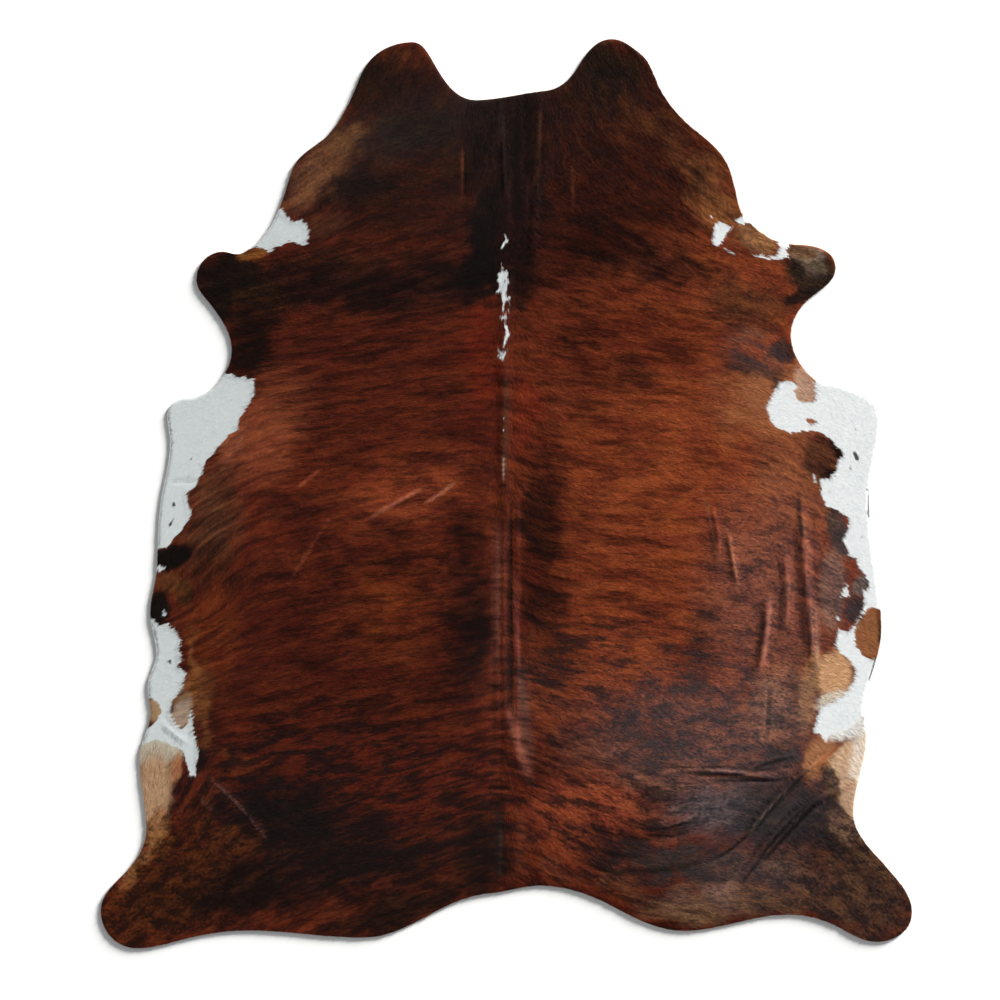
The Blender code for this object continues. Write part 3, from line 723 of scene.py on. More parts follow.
def point_at(across, along):
    """A table's place as a point in metres."""
    return Vector((across * MM, along * MM, 0))


def arc_like_handle(chord, heading):
    """A Bezier handle along a heading, as long as it is on an arc over the same chord."""
    direction = Vector((cos(radians(heading)), sin(radians(heading)), 0))
    return direction * chord.length * 2 / (3 * (1 + cos(chord.angle(direction))))


def outline_ring(spacing):
    """Evenly spaced points through the edge points, clockwise."""
    points = []
    for here, there in zip(OUTLINE, OUTLINE[1:] + OUTLINE[:1]):
        start, end = point_at(here.across, here.along), point_at(there.across, there.along)
        chord = end - start
        leaving = start + arc_like_handle(chord, here.heading)
        arriving = end - arc_like_handle(chord, there.heading)
        steps = max(2, ceil(chord.length / spacing))
        points += interpolate_bezier(start, leaving, arriving, end, steps + 1)[:-1]
    return np.array(points)[:, :2]


def ring_area(ring):
    ahead = np.roll(ring, -1, axis=0)
    return abs(np.sum(ring[:, 0] * ahead[:, 1] - ring[:, 1] * ahead[:, 0])) / 2


def crest_line(fold):
    start, bend, end = (point_at(*place) for place in (fold.start, fold.bend, fold.end))
    steps = ceil((end - start).length / CREST_SPACING)
    crest = interpolate_bezier(start, start.lerp(bend, 2 / 3), end.lerp(bend, 2 / 3), end, steps + 1)
    return np.array(crest)[:, :2]


def ridge_chart(fold, width):
    """A rounded ridge along a fold or a strip, 1 high on its crest, that dies away at its ends."""
    ridge = np.zeros(ACROSS.shape)
    crest = crest_line(fold)
    last = len(crest) - 1
    for number in range(last):
        near = window(crest[number:number + 2], width)
        distance, share = nearest_on(crest[number], crest[number + 1], near)
        offset = np.minimum(distance / (width / 2), 1)
        travelled = (number + share) / last
        fading = np.minimum(1, np.minimum(travelled, 1 - travelled) / FADING_SHARE)
        height = (1 + np.cos(pi * offset)) / 2 * (1 - np.cos(pi * fading)) / 2
        ridge[near] = np.maximum(ridge[near], height)
    return ridge


def fold_rise(fold):
    """How far one fold lifts the hide."""
    return ridge_chart(fold, fold.width * MM) * fold.height * MM


def sheet_rise():
    """How high the underside lies off the floor."""
    return np.max([fold_rise(fold) for fold in FOLDS], axis=0)


def crease_rise():
    rises = [fold_rise(crease) for crease in CREASES]
    return np.max(rises, axis=0) + np.min(rises, axis=0)


# ---------------------------------------------------------------- flow of the coat

FLOW_BLUR = 0.05                # how near a reading of the stripes rules alone
SPINE_FADING = 0.05             # from the spine, over which the hair turns to the sides
BACKWARD_LEAN = 0.10            # of all hair towards the rump


def flow_turn():
    """The stripes' direction over the chart: the table's, each reading strongest near its place."""
    double_cosine = np.zeros(ACROSS.shape)
    double_sine = np.zeros(ACROSS.shape)
    for flow in FLOWS:
        distance = np.hypot(ACROSS - flow.across * MM, ALONG - flow.along * MM)
        weight = 1 / (distance ** 2 + FLOW_BLUR ** 2) ** 2
        double_cosine += weight * cos(radians(2 * flow.turn))
        double_sine += weight * sin(radians(2 * flow.turn))
    return np.arctan2(double_sine, double_cosine) / 2


def mirrored(chart, flip_across, flip_along):
    wide = np.concatenate((chart, chart[:, ::-1] * flip_across), axis=1)
    return np.concatenate((wide, wide[::-1] * flip_along), axis=0)


def climb(slope_across, slope_along):
    """The chart whose slopes come closest to those given, found through its waves."""
    rows, columns = slope_across.shape
    waves_across = np.fft.fft2(mirrored(slope_across, -1, 1))
    waves_along = np.fft.fft2(mirrored(slope_along, 1, -1))
    turn_across, turn_along = np.meshgrid(
        2 * pi * np.fft.fftfreq(2 * columns, CHART_CELL),
        2 * pi * np.fft.fftfreq(2 * rows, CHART_CELL),
    )
    power = turn_across ** 2 + turn_along ** 2
    power[0, 0] = 1
    waves = -1j * (turn_across * waves_across + turn_along * waves_along) / power
    waves[0, 0] = 0
    return np.fft.ifft2(waves).real[:rows, :columns]


def hair_turn(stripe_turn):
    """The hair's own direction: outwards along the stripes, and backwards near the spine."""
    outward = np.sign(ACROSS)
    side = 1 - np.exp(-np.abs(ACROSS) / SPINE_FADING)
    east = np.cos(stripe_turn) * outward * side
    north = np.sin(stripe_turn) * outward * side - (1 - side) - BACKWARD_LEAN
    return np.arctan2(north, east)


# ---------------------------------------------------------------- tone and white of the coat

# Where an oval has faded to nothing and where it is full, as shares of the way to its rim.
BODY_TONE_FADE = (1.45, 0.3)
FINE_TONE_FADE = (1.15, 0.65)
GRAIN_FADE = (1.4, 0.5)

# How the ovals' rims waver: random hills of a size, which push every place across and along.
Waver = namedtuple("Waver", "size push seed_across seed_along")

BODY_WAVERS = (Waver(0.060, 0.010, 11, 13), Waver(0.018, 0.003, 12, 14))
FINE_WAVERS = (Waver(0.012, 0.0018, 15, 16),)

STRIP_SPREAD = 1.4              # of a strip's width, out to where its soft sides end
# Strips darker than this paint the shade in a furrow, where the painted sheen is dulled.
FURROW_DARK = 0.8               # strips darker than this are furrows
FURROW_DULLNESS = 0.85
WHITE_REACH = 0.03              # how deep the chart of the white goes on measuring


def colour_values(code):
    """An sRGB colour code as linear red, green and blue."""
    values = np.array([int(code[place:place + 2], 16) for place in (0, 2, 4)]) / 255
    return np.where(values <= 0.04045, values / 12.92, ((values + 0.055) / 1.055) ** 2.4)


def from_oval(oval, across, along):
    """How far out each cell lies in an oval, from 0 in its middle to 1 at its rim."""
    turn = radians(oval.turn)
    east, north = across - oval.across * MM, along - oval.along * MM
    on_long = (east * cos(turn) + north * sin(turn)) / (oval.long_half * MM)
    on_short = (north * cos(turn) - east * sin(turn)) / (oval.short_half * MM)
    return np.hypot(on_long, on_short)


def strip_cover(strip):
    """How much a strip covers: fully on its line, and less to its sides and ends."""
    return ridge_chart(strip, strip.width * MM * STRIP_SPREAD)


def strips_cover(strips):
    return np.max([strip_cover(strip) for strip in strips], axis=0)


def lay_tone(tones, tone, cover):
    new = np.array((*colour_values(tone.colour), tone.dark))
    tones += (tone.cover * cover)[..., None] * (new - tones)


def wavering_places(wavers):
    across, along = ACROSS, ALONG
    for waver in wavers:
        across = across + cloud(waver.size, waver.seed_across) * waver.push
        along = along + cloud(waver.size, waver.seed_along) * waver.push
    return across, along


def lay_ovals(tones, ovals, wavers, fade):
    across, along = wavering_places(wavers)
    for oval in ovals:
        lay_tone(tones, oval, smooth_step(*fade, from_oval(oval, across, along)))


def tone_chart():
    """The lighter hair's colour and the share of dark brindle, as four values a cell."""
    tones = np.empty((*ACROSS.shape, 4))
    tones[:] = (*colour_values(BODY_COLOUR), BODY_DARK)
    lay_ovals(tones, BODY_TONES, BODY_WAVERS, BODY_TONE_FADE)
    lay_ovals(tones, FINE_TONES, FINE_WAVERS, FINE_TONE_FADE)
    # The strips lay painted highlight, sheen and shade along the folds, creases and spine, with some of
    # the hair's own colour.
    for strip in STRIPS:
        lay_tone(tones, strip, strip_cover(strip))
    return tones


def grain_chart():
    """How blotched and how strong the brindle is, and how much painted sheen lies on its hair, as three
    values a cell.
    """
    grains = np.empty((*ACROSS.shape, 3))
    grains[:] = BODY_GRAIN
    for zone in GRAINS:
        cover = smooth_step(*GRAIN_FADE, from_oval(zone, ACROSS, ALONG))
        new = np.array((zone.blotched, zone.strong, zone.shine))
        grains += cover[..., None] * (new - grains)
    # The painted sheen is dulled under the strips that paint a furrow's shade.
    furrows = [strip for strip in STRIPS if strip.dark > FURROW_DARK]
    grains[..., 2] *= 1 - FURROW_DULLNESS * strips_cover(furrows)
    return grains


def white_depth():
    """How deep each cell lies in the white: below zero in the coloured coat."""
    depth = np.full(ACROSS.shape, -WHITE_REACH)
    for ring in WHITE_PATCHES.values():
        depth = np.maximum(depth, depth_in(np.array(ring) * MM, WHITE_REACH))
    for ring in ISLANDS.values():
        depth = np.minimum(depth, -depth_in(np.array(ring) * MM, WHITE_REACH))
    return depth


# ---------------------------------------------------------------- the charts

EDGE_DEPTH = depth_in(outline_ring(COARSE_EDGE_SPACING), CHART_MARGIN)
SHEET_RISE = sheet_rise()
CREASE_RISE = crease_rise()
TOP_RISE = SHEET_RISE + CREASE_RISE
TURN = flow_turn()
CLIMB_ALONG = climb(np.cos(TURN), np.sin(TURN))
CLIMB_ACROSS = climb(-np.sin(TURN), np.cos(TURN))
TONE = tone_chart()
GRAIN = grain_chart()
STRIP_COVER = strips_cover(STRIPS)
WHITE_DEPTH = white_depth()
STROKE_DEPTH = depth_in_strokes(WHITE_STROKES)
SPECK_DEPTH = depth_in_strokes(DARK_STROKES)
HAIR_TURN = hair_turn(TURN)
HAIR_LEAN = cloud(0.012, 21)


# ---------------------------------------------------------------- meshes

CLEAR_SHARE = 0.5               # of a grid's spacing, kept clear inside its ring
SAME_POINT = 0.00001            # how near two points of a filled ring count as one
SKIN_STRAND = (0.5, 0.25, 0.0)  # what the skin's material reads where hair reads its strand

# The rings of the cut edge, from the flesh side up: how far in from the outline, and how high.
EDGE_PROFILE = (
    (EDGE_ROUNDING, 0.0), (0.0, EDGE_ROUNDING), (0.0, LEATHER_THICKNESS), (SKIN_INSET, SKIN_HEIGHT),
)
# Where the bake map holds each side: its share of the map, and its corner.
HAIR_SIDE_MAP = (0.70, (0.005, 0.005))
FLESH_SIDE_MAP = (0.28, (0.71, 0.01))


def new_object(name, data):
    item = bpy.data.objects.new(name, data)
    bpy.context.scene.collection.objects.link(item)
    return item


def triangle_mesh(name, places, triangles):
    mesh = bpy.data.meshes.new(name)
    mesh.vertices.add(len(places))
    mesh.vertices.foreach_set("co", np.asarray(places, np.float32).ravel())
    mesh.loops.add(triangles.size)
    mesh.loops.foreach_set("vertex_index", triangles.astype(np.int32).ravel())
    mesh.polygons.add(len(triangles))
    mesh.polygons.foreach_set("loop_start", np.arange(0, triangles.size, 3, dtype=np.int32))
    mesh.update(calc_edges=True)
    mesh.polygons.foreach_set("use_smooth", np.ones(len(triangles), bool))
    return mesh


def write_attribute(mesh, name, values):
    """Values for every point: three as a vector, or four as a colour."""
    kind, field = ("FLOAT_VECTOR", "vector") if values.shape[1] == 3 else ("FLOAT_COLOR", "color")
    attribute = mesh.attributes.new(name, kind, "POINT")
    attribute.data.foreach_set(field, np.asarray(values, np.float32).ravel())


def write_coat(mesh, places, strands):
    """What the coat's material reads, taken at places: tone, flow, grain, marks and strand."""
    flow = [read_chart(chart, places) for chart in (CLIMB_ALONG, CLIMB_ACROSS)]
    marks = [read_chart(chart, places) for chart in (WHITE_DEPTH, STROKE_DEPTH, SPECK_DEPTH)]
    write_attribute(mesh, "tone", read_chart(TONE, places))
    write_attribute(mesh, "flow", np.column_stack((*flow, np.zeros(len(places)))))
    write_attribute(mesh, "grain", read_chart(GRAIN, places))
    write_attribute(mesh, "marks", np.column_stack(marks))
    write_attribute(mesh, "strand", strands)


def write_bake_map(mesh, places):
    """The bake map, from the place of every corner of every face."""
    layer = mesh.uv_layers.new(name="OFBake")
    layer.data.foreach_set("uv", np.asarray(places, np.float32).ravel())


def inset_ring(ring, inset):
    """A clockwise ring moved inwards."""
    ahead = np.roll(ring, -1, axis=0) - np.roll(ring, 1, axis=0)
    inward = np.stack((ahead[:, 1], -ahead[:, 0]), axis=1)
    return ring + inward / np.hypot(*inward.T)[:, None] * inset


def staggered_grid(spacing):
    """Rows of points over the whole chart, each row half a step on from the last."""
    rows = np.arange(ROWS[0], ROWS[-1], spacing * sin(radians(60)))
    columns = np.arange(COLUMNS[0], COLUMNS[-1], spacing)
    across, along = np.meshgrid(columns, rows)
    across[1::2] += spacing / 2
    return np.column_stack((across.ravel(), along.ravel()))


def filled_ring(ring, spacing, clearance):
    """A ring filled with a staggered grid: the points, the ring's first, and the triangles."""
    places = staggered_grid(spacing)
    places = places[read_chart(EDGE_DEPTH, places) > clearance]
    everything = [Vector(place) for place in np.concatenate((ring, places))]
    inside_constraints = 1
    points, _, faces, *_ = delaunay_2d_cdt(
        everything, [], [list(range(len(ring)))], inside_constraints, SAME_POINT
    )
    return np.array(points), np.array(faces)


def band(first, second, count):
    """Triangles between two rings of the same count, by the numbers of their first points."""
    here = np.arange(count)
    there = (here + 1) % count
    one = np.column_stack((first + here, second + here, second + there))
    two = np.column_stack((first + here, second + there, first + there))
    return np.concatenate((one, two))


def upward(triangles, places):
    """The triangles all turned to face up."""
    a, b, c = (places[triangles[:, corner], :2] for corner in range(3))
    area = (b - a)[:, 0] * (c - a)[:, 1] - (b - a)[:, 1] * (c - a)[:, 0]
    return np.where((area < 0)[:, None], triangles[:, ::-1], triangles)


def map_leather(mesh, places, faces, is_flesh):
    """Both sides on the bake map, the flesh side beside the hair side."""
    spot = (places[faces.ravel(), :2] - (COLUMNS[0], ROWS[0])) / (ROWS[-1] - ROWS[0])
    hair_side, flesh_side = (spot * share + corner for share, corner in (HAIR_SIDE_MAP, FLESH_SIDE_MAP))
    on_flesh = np.repeat(is_flesh, 3)[:, None] == 1
    write_bake_map(mesh, np.where(on_flesh, flesh_side, hair_side))


def build_leather():
    """The sheet itself: hair side above, flesh side below, and a softened cut edge between them."""
    edge = outline_ring(EDGE_SPACING)
    count = len(edge)
    rings = [inset_ring(edge, inset) for inset, _ in EDGE_PROFILE]
    top, top_faces = filled_ring(rings[-1], TOP_SPACING, SKIN_INSET + TOP_SPACING * CLEAR_SHARE)
    bottom, bottom_faces = filled_ring(rings[0], BOTTOM_SPACING, BOTTOM_SPACING * CLEAR_SHARE)

    flat = np.concatenate((top, bottom, rings[1], rings[2]))
    height = np.concatenate((
        np.full(len(top), SKIN_HEIGHT) + read_chart(CREASE_RISE, top),
        np.zeros(len(bottom)),
        np.full(count, EDGE_ROUNDING), np.full(count, LEATHER_THICKNESS),
    ))
    places = np.column_stack((flat, height + read_chart(SHEET_RISE, flat)))
    places[:, 2] = np.maximum(places[:, 2], 0)
    first_bottom, first_low = len(top), len(top) + len(bottom)
    first_high = first_low + count
    faces = np.concatenate((
        upward(top_faces, top),
        upward(bottom_faces, bottom)[:, ::-1] + first_bottom,
        band(first_bottom, first_low, count),
        band(first_low, first_high, count),
        band(first_high, 0, count),
    ))
    haired_band = 2 * count
    is_flesh = np.zeros(len(faces), np.int32)
    is_flesh[len(top_faces):len(faces) - haired_band] = 1

    mesh = triangle_mesh("hide_leather", places, faces)
    mesh.materials.append(coat_material("brindle_coat_skin"))
    mesh.materials.append(flesh_material())
    mesh.polygons.foreach_set("material_index", is_flesh)
    write_coat(mesh, places, np.tile(SKIN_STRAND, (len(places), 1)))
    map_leather(mesh, places, faces, is_flesh)
    return new_object("hide_leather", mesh)


# ---------------------------------------------------------------- hair

# How unevenly the strands lie and grow. A range holds shares of the plain value.
TUFT_LEAN = radians(11)
STRAY_LEAN = radians(7)
LENGTH_RANGE = (0.65, 1.25)
WIDTH_RANGE = (0.7, 1.3)
RISE_RANGE = (0.55, 1.35)
ROLL_SPREAD = 0.16              # of half a strand's width, that one side of its root is lifted
DEEPEST_ROLL = 0.0002           # of the other side
CREASE_SHORTENING = 0.6
SHORTEST_SHARE = 0.2            # of a strand, where the cut edge shortens it
SMALLEST_DROP = 1e-6            # in edge depth along a strand, to divide by
WHITE_SLEEKNESS = 0.6           # of white hair, which lies flatter
WHITE_RIM = 0.004               # of a white patch, over which hair grows sleek
COLOUR_SPOT = 0.55              # of a strand's length, where it takes its colour


def strand_roots(random):
    """Scattered over the hide, from neck to rump."""
    places = staggered_grid(STRAND_SPACING)
    places += random.uniform(-0.5, 0.5, places.shape) * STRAND_SPACING
    places = places[read_chart(EDGE_DEPTH, places) > ROOT_DEPTH]
    return places[np.argsort(-places[:, 1], kind="stable")]


def strand_directions(roots, random):
    """Back along the spine, then down the sides with the stripes, in uneven tufts."""
    turn = read_chart(HAIR_TURN, roots)
    lean = read_chart(HAIR_LEAN, roots) * TUFT_LEAN
    turn = turn + lean + random.normal(0, STRAY_LEAN, len(roots))
    return np.column_stack((np.cos(turn), np.sin(turn)))


def strand_lengths(roots, direction, random):
    """Uneven, shorter in the creases, and cut where a strand would reach too far past the edge."""
    length = STRAND_LENGTH * random.uniform(*LENGTH_RANGE, len(roots))
    length *= 1 - CREASE_SHORTENING * read_chart(STRIP_COVER, roots)
    depth = read_chart(EDGE_DEPTH, roots)
    past = read_chart(EDGE_DEPTH, roots + direction * length[:, None])
    fitting = (depth + STRAND_OVERHANG) / np.maximum(depth - past, SMALLEST_DROP)
    allowed = np.where(past < -STRAND_OVERHANG, fitting, 1)
    return length * np.clip(allowed, SHORTEST_SHARE, 1)


def raised(places, height):
    """Places at a height over the roots."""
    base = SKIN_HEIGHT - STRAND_SINK
    return np.column_stack((places, read_chart(TOP_RISE, places) + base + height))


def strand_corners(roots, direction, length, random):
    """Every strand's three corners: two at its root, a little rolled, and one at its raised tip."""
    sideways = np.column_stack((-direction[:, 1], direction[:, 0]))
    sideways *= (STRAND_WIDTH / 2 * random.uniform(*WIDTH_RANGE, len(roots)))[:, None]
    in_white = smooth_step(-WHITE_RIM, WHITE_RIM, read_chart(WHITE_DEPTH, roots))
    sleek = 1 - WHITE_SLEEKNESS * in_white
    roll = random.normal(0, ROLL_SPREAD, len(roots)) * STRAND_WIDTH / 2 * sleek
    rise = STRAND_RISE * random.uniform(*RISE_RANGE, len(roots)) * length / STRAND_LENGTH * sleek
    left = raised(roots + sideways, np.maximum(roll, -DEEPEST_ROLL))
    right = raised(roots - sideways, np.maximum(-roll, -DEEPEST_ROLL))
    tip = raised(roots + direction * length[:, None], rise)
    return np.stack((left, right, tip), axis=1)


def hair_piece(name, corners, colour_spots, grain, material):
    """Some of the strands, a triangle each. A strand takes its colour from one spot."""
    places = corners.reshape(-1, 3)
    mesh = triangle_mesh(name, places, np.arange(len(places)).reshape(-1, 3))
    mesh.materials.append(material)
    at_tip = np.tile((0.0, 0.0, 1.0), len(corners))
    strands = np.column_stack((np.repeat(grain, 3), at_tip, np.zeros(len(places))))
    write_coat(mesh, np.repeat(colour_spots, 3, axis=0), strands)
    low, high = places[:, :2].min(0), places[:, :2].max(0)
    write_bake_map(mesh, (places[:, :2] - low) / (high - low).max())
    return new_object(name, mesh)


def build_hair():
    random = np.random.default_rng(5)
    roots = strand_roots(random)
    direction = strand_directions(roots, random)
    length = strand_lengths(roots, direction, random)
    corners = strand_corners(roots, direction, length, random)
    grain = random.uniform(0, 1, len(roots))
    colour_spots = roots + direction * length[:, None] * COLOUR_SPOT
    material = coat_material("brindle_coat_hair")
    bounds = np.linspace(0, len(roots), len(HAIR_PIECES) + 1).astype(int)
    parts = [slice(first, last) for first, last in zip(bounds, bounds[1:])]
    return [
        hair_piece(name, corners[part], colour_spots[part], grain[part], material)
        for name, part in zip(HAIR_PIECES, parts)
    ]


# ---------------------------------------------------------------- materials

class NodeWriter:
    """Adds nodes to a material, with each input given as a value or as another node's output."""

    def __init__(self, material):
        material.use_nodes = True
        self.tree = material.node_tree
        self.shader = self.tree.nodes["Principled BSDF"]

    def add(self, kind, settings=None, **inputs):
        node = self.tree.nodes.new(kind)
        for name, value in (settings or {}).items():
            setattr(node, name, value)
        for name, value in inputs.items():
            self.feed(node, int(name[1:]) if name[1:].isdigit() else name.replace("_", " "), value)
        return node

    def feed(self, node, socket, value):
        if isinstance(value, bpy.types.NodeSocket):
            self.tree.links.new(value, node.inputs[socket])
        else:
            node.inputs[socket].default_value = value

    def math(self, kind, first, second=0.0, third=0.0):
        return self.add("ShaderNodeMath", {"operation": kind}, i0=first, i1=second, i2=third).outputs[0]

    def weighted(self, *pairs):
        """The sum of some values, each times its weight."""
        total = 0.0
        for value, weight in pairs:
            total = self.math("MULTIPLY_ADD", value, weight, total)
        return total

    def swing(self, value, reach, middle=0.5):
        """A value turned to swing about 0, by a reach for each 1 it goes from its middle."""
        return self.math("MULTIPLY", self.math("SUBTRACT", value, middle), reach)

    def attribute(self, name):
        return self.add("ShaderNodeAttribute", {"attribute_name": name})

    def values(self, name):
        """An attribute's three values."""
        return self.apart(self.attribute(name).outputs["Vector"])

    def apart(self, vector):
        return self.add("ShaderNodeSeparateXYZ", Vector=vector).outputs

    def place(self):
        return self.add("ShaderNodeTexCoord").outputs["Object"]

    def noise(self, place, waves, detail, rough, twist):
        """Noise with so many waves a metre along each axis of place."""
        scaled = self.add("ShaderNodeVectorMath", {"operation": "MULTIPLY"}, i0=place, i1=waves)
        node = self.add("ShaderNodeTexNoise", Vector=scaled.outputs[0], Scale=1.0, Detail=detail,
                        Roughness=rough, Distortion=twist)
        return node.outputs[0]

    def between(self, value, low, high, to_low=0.0, to_high=1.0):
        settings = {"interpolation_type": "SMOOTHSTEP"}
        node = self.add("ShaderNodeMapRange", settings, Value=value, From_Min=low, From_Max=high,
                        To_Min=to_low, To_Max=to_high)
        return node.outputs[0]

    def mix(self, share, first, second, blend="MIX"):
        node = self.add("ShaderNodeMix", {"data_type": "RGBA", "blend_type": blend},
                        i0=share, i6=first, i7=second)
        return node.outputs[2]

    def times(self, colour, other):
        return self.mix(1.0, colour, other, "MULTIPLY")

    def grey(self, value):
        return self.add("ShaderNodeCombineColor", i0=value, i1=value, i2=value).outputs[0]

    def bump(self, height, strength, distance):
        node = self.add("ShaderNodeBump", Strength=strength, Distance=distance, Height=height)
        self.feed(self.shader, "Normal", node.outputs[0])


# The coat's noises, with their waves a metre: along and across the stripes where one follows the
# flow, and across and along the hide where it doesn't.
Noise = namedtuple("Noise", "name follows_flow waves detail rough twist")

COAT_NOISES = [Noise(*row) for row in (
    ("broad", True, (9.5, 52.0, 0), 4.0, 0.58, 0.6),
    ("fine", True, (34.0, 160.0, 0), 2.0, 0.55, 0.5),
    ("hairs", True, (70.0, 700.0, 0), 2.0, 0.50, 0.0),
    ("warmth", True, (10.0, 34.0, 0), 3.0, 0.60, 0.5),
    ("ragged", True, (55.0, 170.0, 0), 3.0, 0.65, 0.2),
    ("mottle", False, (26.0, 38.0, 0), 4.0, 0.62, 0.4),
    ("tufts", False, (120.0, 150.0, 0), 2.0, 0.60, 0.0),
)]
BROAD_RANGE = (0.33, 0.67)      # of a noise, over which it goes from 0 to 1
FINE_RANGE = (0.30, 0.70)
WARMTH_RANGE = (0.35, 0.65)
STRIPE_WEIGHTS = (0.70, 0.30)   # of the broad stripes and the fine streaks
BLOTCH_WEIGHTS = (0.62, 0.38)   # of the broad blotches and the fine speckles
WARMTH_REACH, HAIRS_REACH, STRAND_REACH = 0.90, 0.20, 0.15
GRAIN_STRENGTH = 2.6
EVEN_DARKNESS = 0.3             # the share of dark brindle under which the coat grows even
DARK_RANGE = (-0.12, 1.12)

# What a place's tone is multiplied by: in red streaks, in the others, dull or under painted sheen, and in
# dark hair.
RED_TINT = (0.93, 0.84, 0.90, 1)
DULL_TINT = (1.27, 1.36, 1.12, 1)
PAINTED_SHEEN_TINT = (1.30, 1.10, 1.06, 1)
DARK_TINT = (0.13, 0.13, 0.14, 1)
BLACK_HAIR = (0.0045, 0.003, 0.0025, 1)
# Black hair under painted sheen: greyer and lighter, a highlight painted into its colour.
PAINTED_SHEEN_BLACK_HAIR = (0.050, 0.043, 0.047, 1)
LIGHT_TEXTURE = 0.16            # of streaks, and of speckles, in the lighter hair

WHITE_HAIR = (0.83, 0.85, 0.855, 1)
SHADED_WHITE_HAIR = (0.76, 0.785, 0.79, 1)
# Painted shade: the white hair greys towards the hide's dimmer left side.
LEFT_SHADED_WHITE_HAIR = (0.53, 0.57, 0.57, 1)
LEFT_SHADE_SPAN = (0.5, -0.5)           # across the hide: where the white is white, and where it is grey
WHITE_GRAIN_MOTTLE = 0.6        # of the mottle's part in the white's grain
WHITE_GRAIN_RANGE = (0.5, 1.1)
SPECK_COLOUR = (0.02, 0.016, 0.014, 1)
SPECK_COVER = 0.92
SPECK_FADE = (-0.0008, 0.0006)
RIM_FADE = (-0.0006, 0.0006)    # of the white, in depth
PATCH_WANDER = 0.022            # of a patch's rim, for each 1 of the ragged noise
STROKE_WANDER = 0.009
STROKE_MIDDLE = 0.58            # of the ragged noise, where a stroke keeps its width

# Painted shade along each strand, darker at its root and lighter towards its tip.
STRAND_SHADE = 0.76             # of the darkest strands, at their roots
STRAND_SHADE_SPREAD = 0.24
STRAND_SHADE_TO_TIP = 0.28
COAT_ROUGHNESS = (0.42, 0.62)
COAT_SHEEN = 0.04


class CoatWriter(NodeWriter):
    """A node writer that has read what the hide's charts say, and has the coat's noises."""

    def __init__(self, material):
        super().__init__(material)
        tone = self.attribute("tone")
        self.tone, self.darkness = tone.outputs["Color"], tone.outputs["Alpha"]
        self.white_depth, self.stroke_depth, self.speck_depth = self.values("marks")
        self.blotched, self.strong, self.shine = self.values("grain")
        self.strand_grain, self.to_tip, _ = self.values("strand")
        flow, place = self.attribute("flow").outputs["Vector"], self.place()
        self.noises = {
            noise.name: self.noise(
                flow if noise.follows_flow else place, noise.waves, noise.detail, noise.rough, noise.twist
            )
            for noise in COAT_NOISES
        }
        self.streaks = self.between(self.noises["fine"], *FINE_RANGE)
        self.speckles = self.between(self.noises["tufts"], *FINE_RANGE)
        self.uneven = self.between(self.darkness, 0.0, EVEN_DARKNESS)


def brindle_pattern(coat):
    """From 0 in the darkest stripes or blotches to 1 in the lightest."""
    stripes = coat.between(coat.noises["broad"], *BROAD_RANGE)
    blotches = coat.between(coat.noises["mottle"], *BROAD_RANGE)
    striped = coat.weighted((coat.streaks, STRIPE_WEIGHTS[1]), (stripes, STRIPE_WEIGHTS[0]))
    patchy = coat.weighted((coat.speckles, BLOTCH_WEIGHTS[1]), (blotches, BLOTCH_WEIGHTS[0]))
    pattern = coat.math("MULTIPLY_ADD", coat.blotched, coat.math("SUBTRACT", patchy, striped), striped)
    swings = (
        (coat.noises["warmth"], WARMTH_REACH),
        (coat.noises["hairs"], HAIRS_REACH),
        (coat.strand_grain, STRAND_REACH),
    )
    for value, reach in swings:
        pattern = coat.math("ADD", pattern, coat.swing(value, reach))
    return pattern


def dark_share(coat):
    """How much of the hair is dark: the chart's share, moved by the brindle."""
    strength = coat.math("MULTIPLY", coat.math("MULTIPLY", coat.strong, GRAIN_STRENGTH), coat.uneven)
    darker = coat.math("MULTIPLY", coat.math("SUBTRACT", 0.5, brindle_pattern(coat)), strength)
    return coat.between(coat.math("ADD", coat.darkness, darker), *DARK_RANGE)


def light_hair(coat):
    # Painted sheen shifts the lighter hair's tint where the grain chart puts it.
    warm = coat.mix(coat.shine, coat.times(coat.tone, DULL_TINT), coat.times(coat.tone, PAINTED_SHEEN_TINT))
    warmth = coat.between(coat.noises["warmth"], *WARMTH_RANGE)
    colour = coat.mix(warmth, coat.times(coat.tone, RED_TINT), warm)
    plain = 1 - LIGHT_TEXTURE
    speckled = coat.math("MULTIPLY_ADD", coat.speckles, LIGHT_TEXTURE, plain)
    lighter = coat.math("MULTIPLY_ADD", coat.streaks, LIGHT_TEXTURE, speckled)
    return coat.mix(coat.uneven, coat.tone, coat.times(colour, coat.grey(lighter)))


def dark_hair(coat):
    # Painted sheen greys and lightens the black hair.
    black = coat.mix(coat.shine, BLACK_HAIR, PAINTED_SHEEN_BLACK_HAIR)
    return coat.mix(1.0, coat.times(coat.tone, DARK_TINT), black, "ADD")


def white_share(coat):
    """1 in white patches and white hairs, whose rims wander raggedly."""
    ragged = coat.noises["ragged"]
    patch = coat.math("ADD", coat.white_depth, coat.swing(ragged, PATCH_WANDER))
    stroke = coat.math("ADD", coat.stroke_depth, coat.swing(ragged, STROKE_WANDER, STROKE_MIDDLE))
    return coat.between(coat.math("MAXIMUM", patch, stroke), *RIM_FADE)


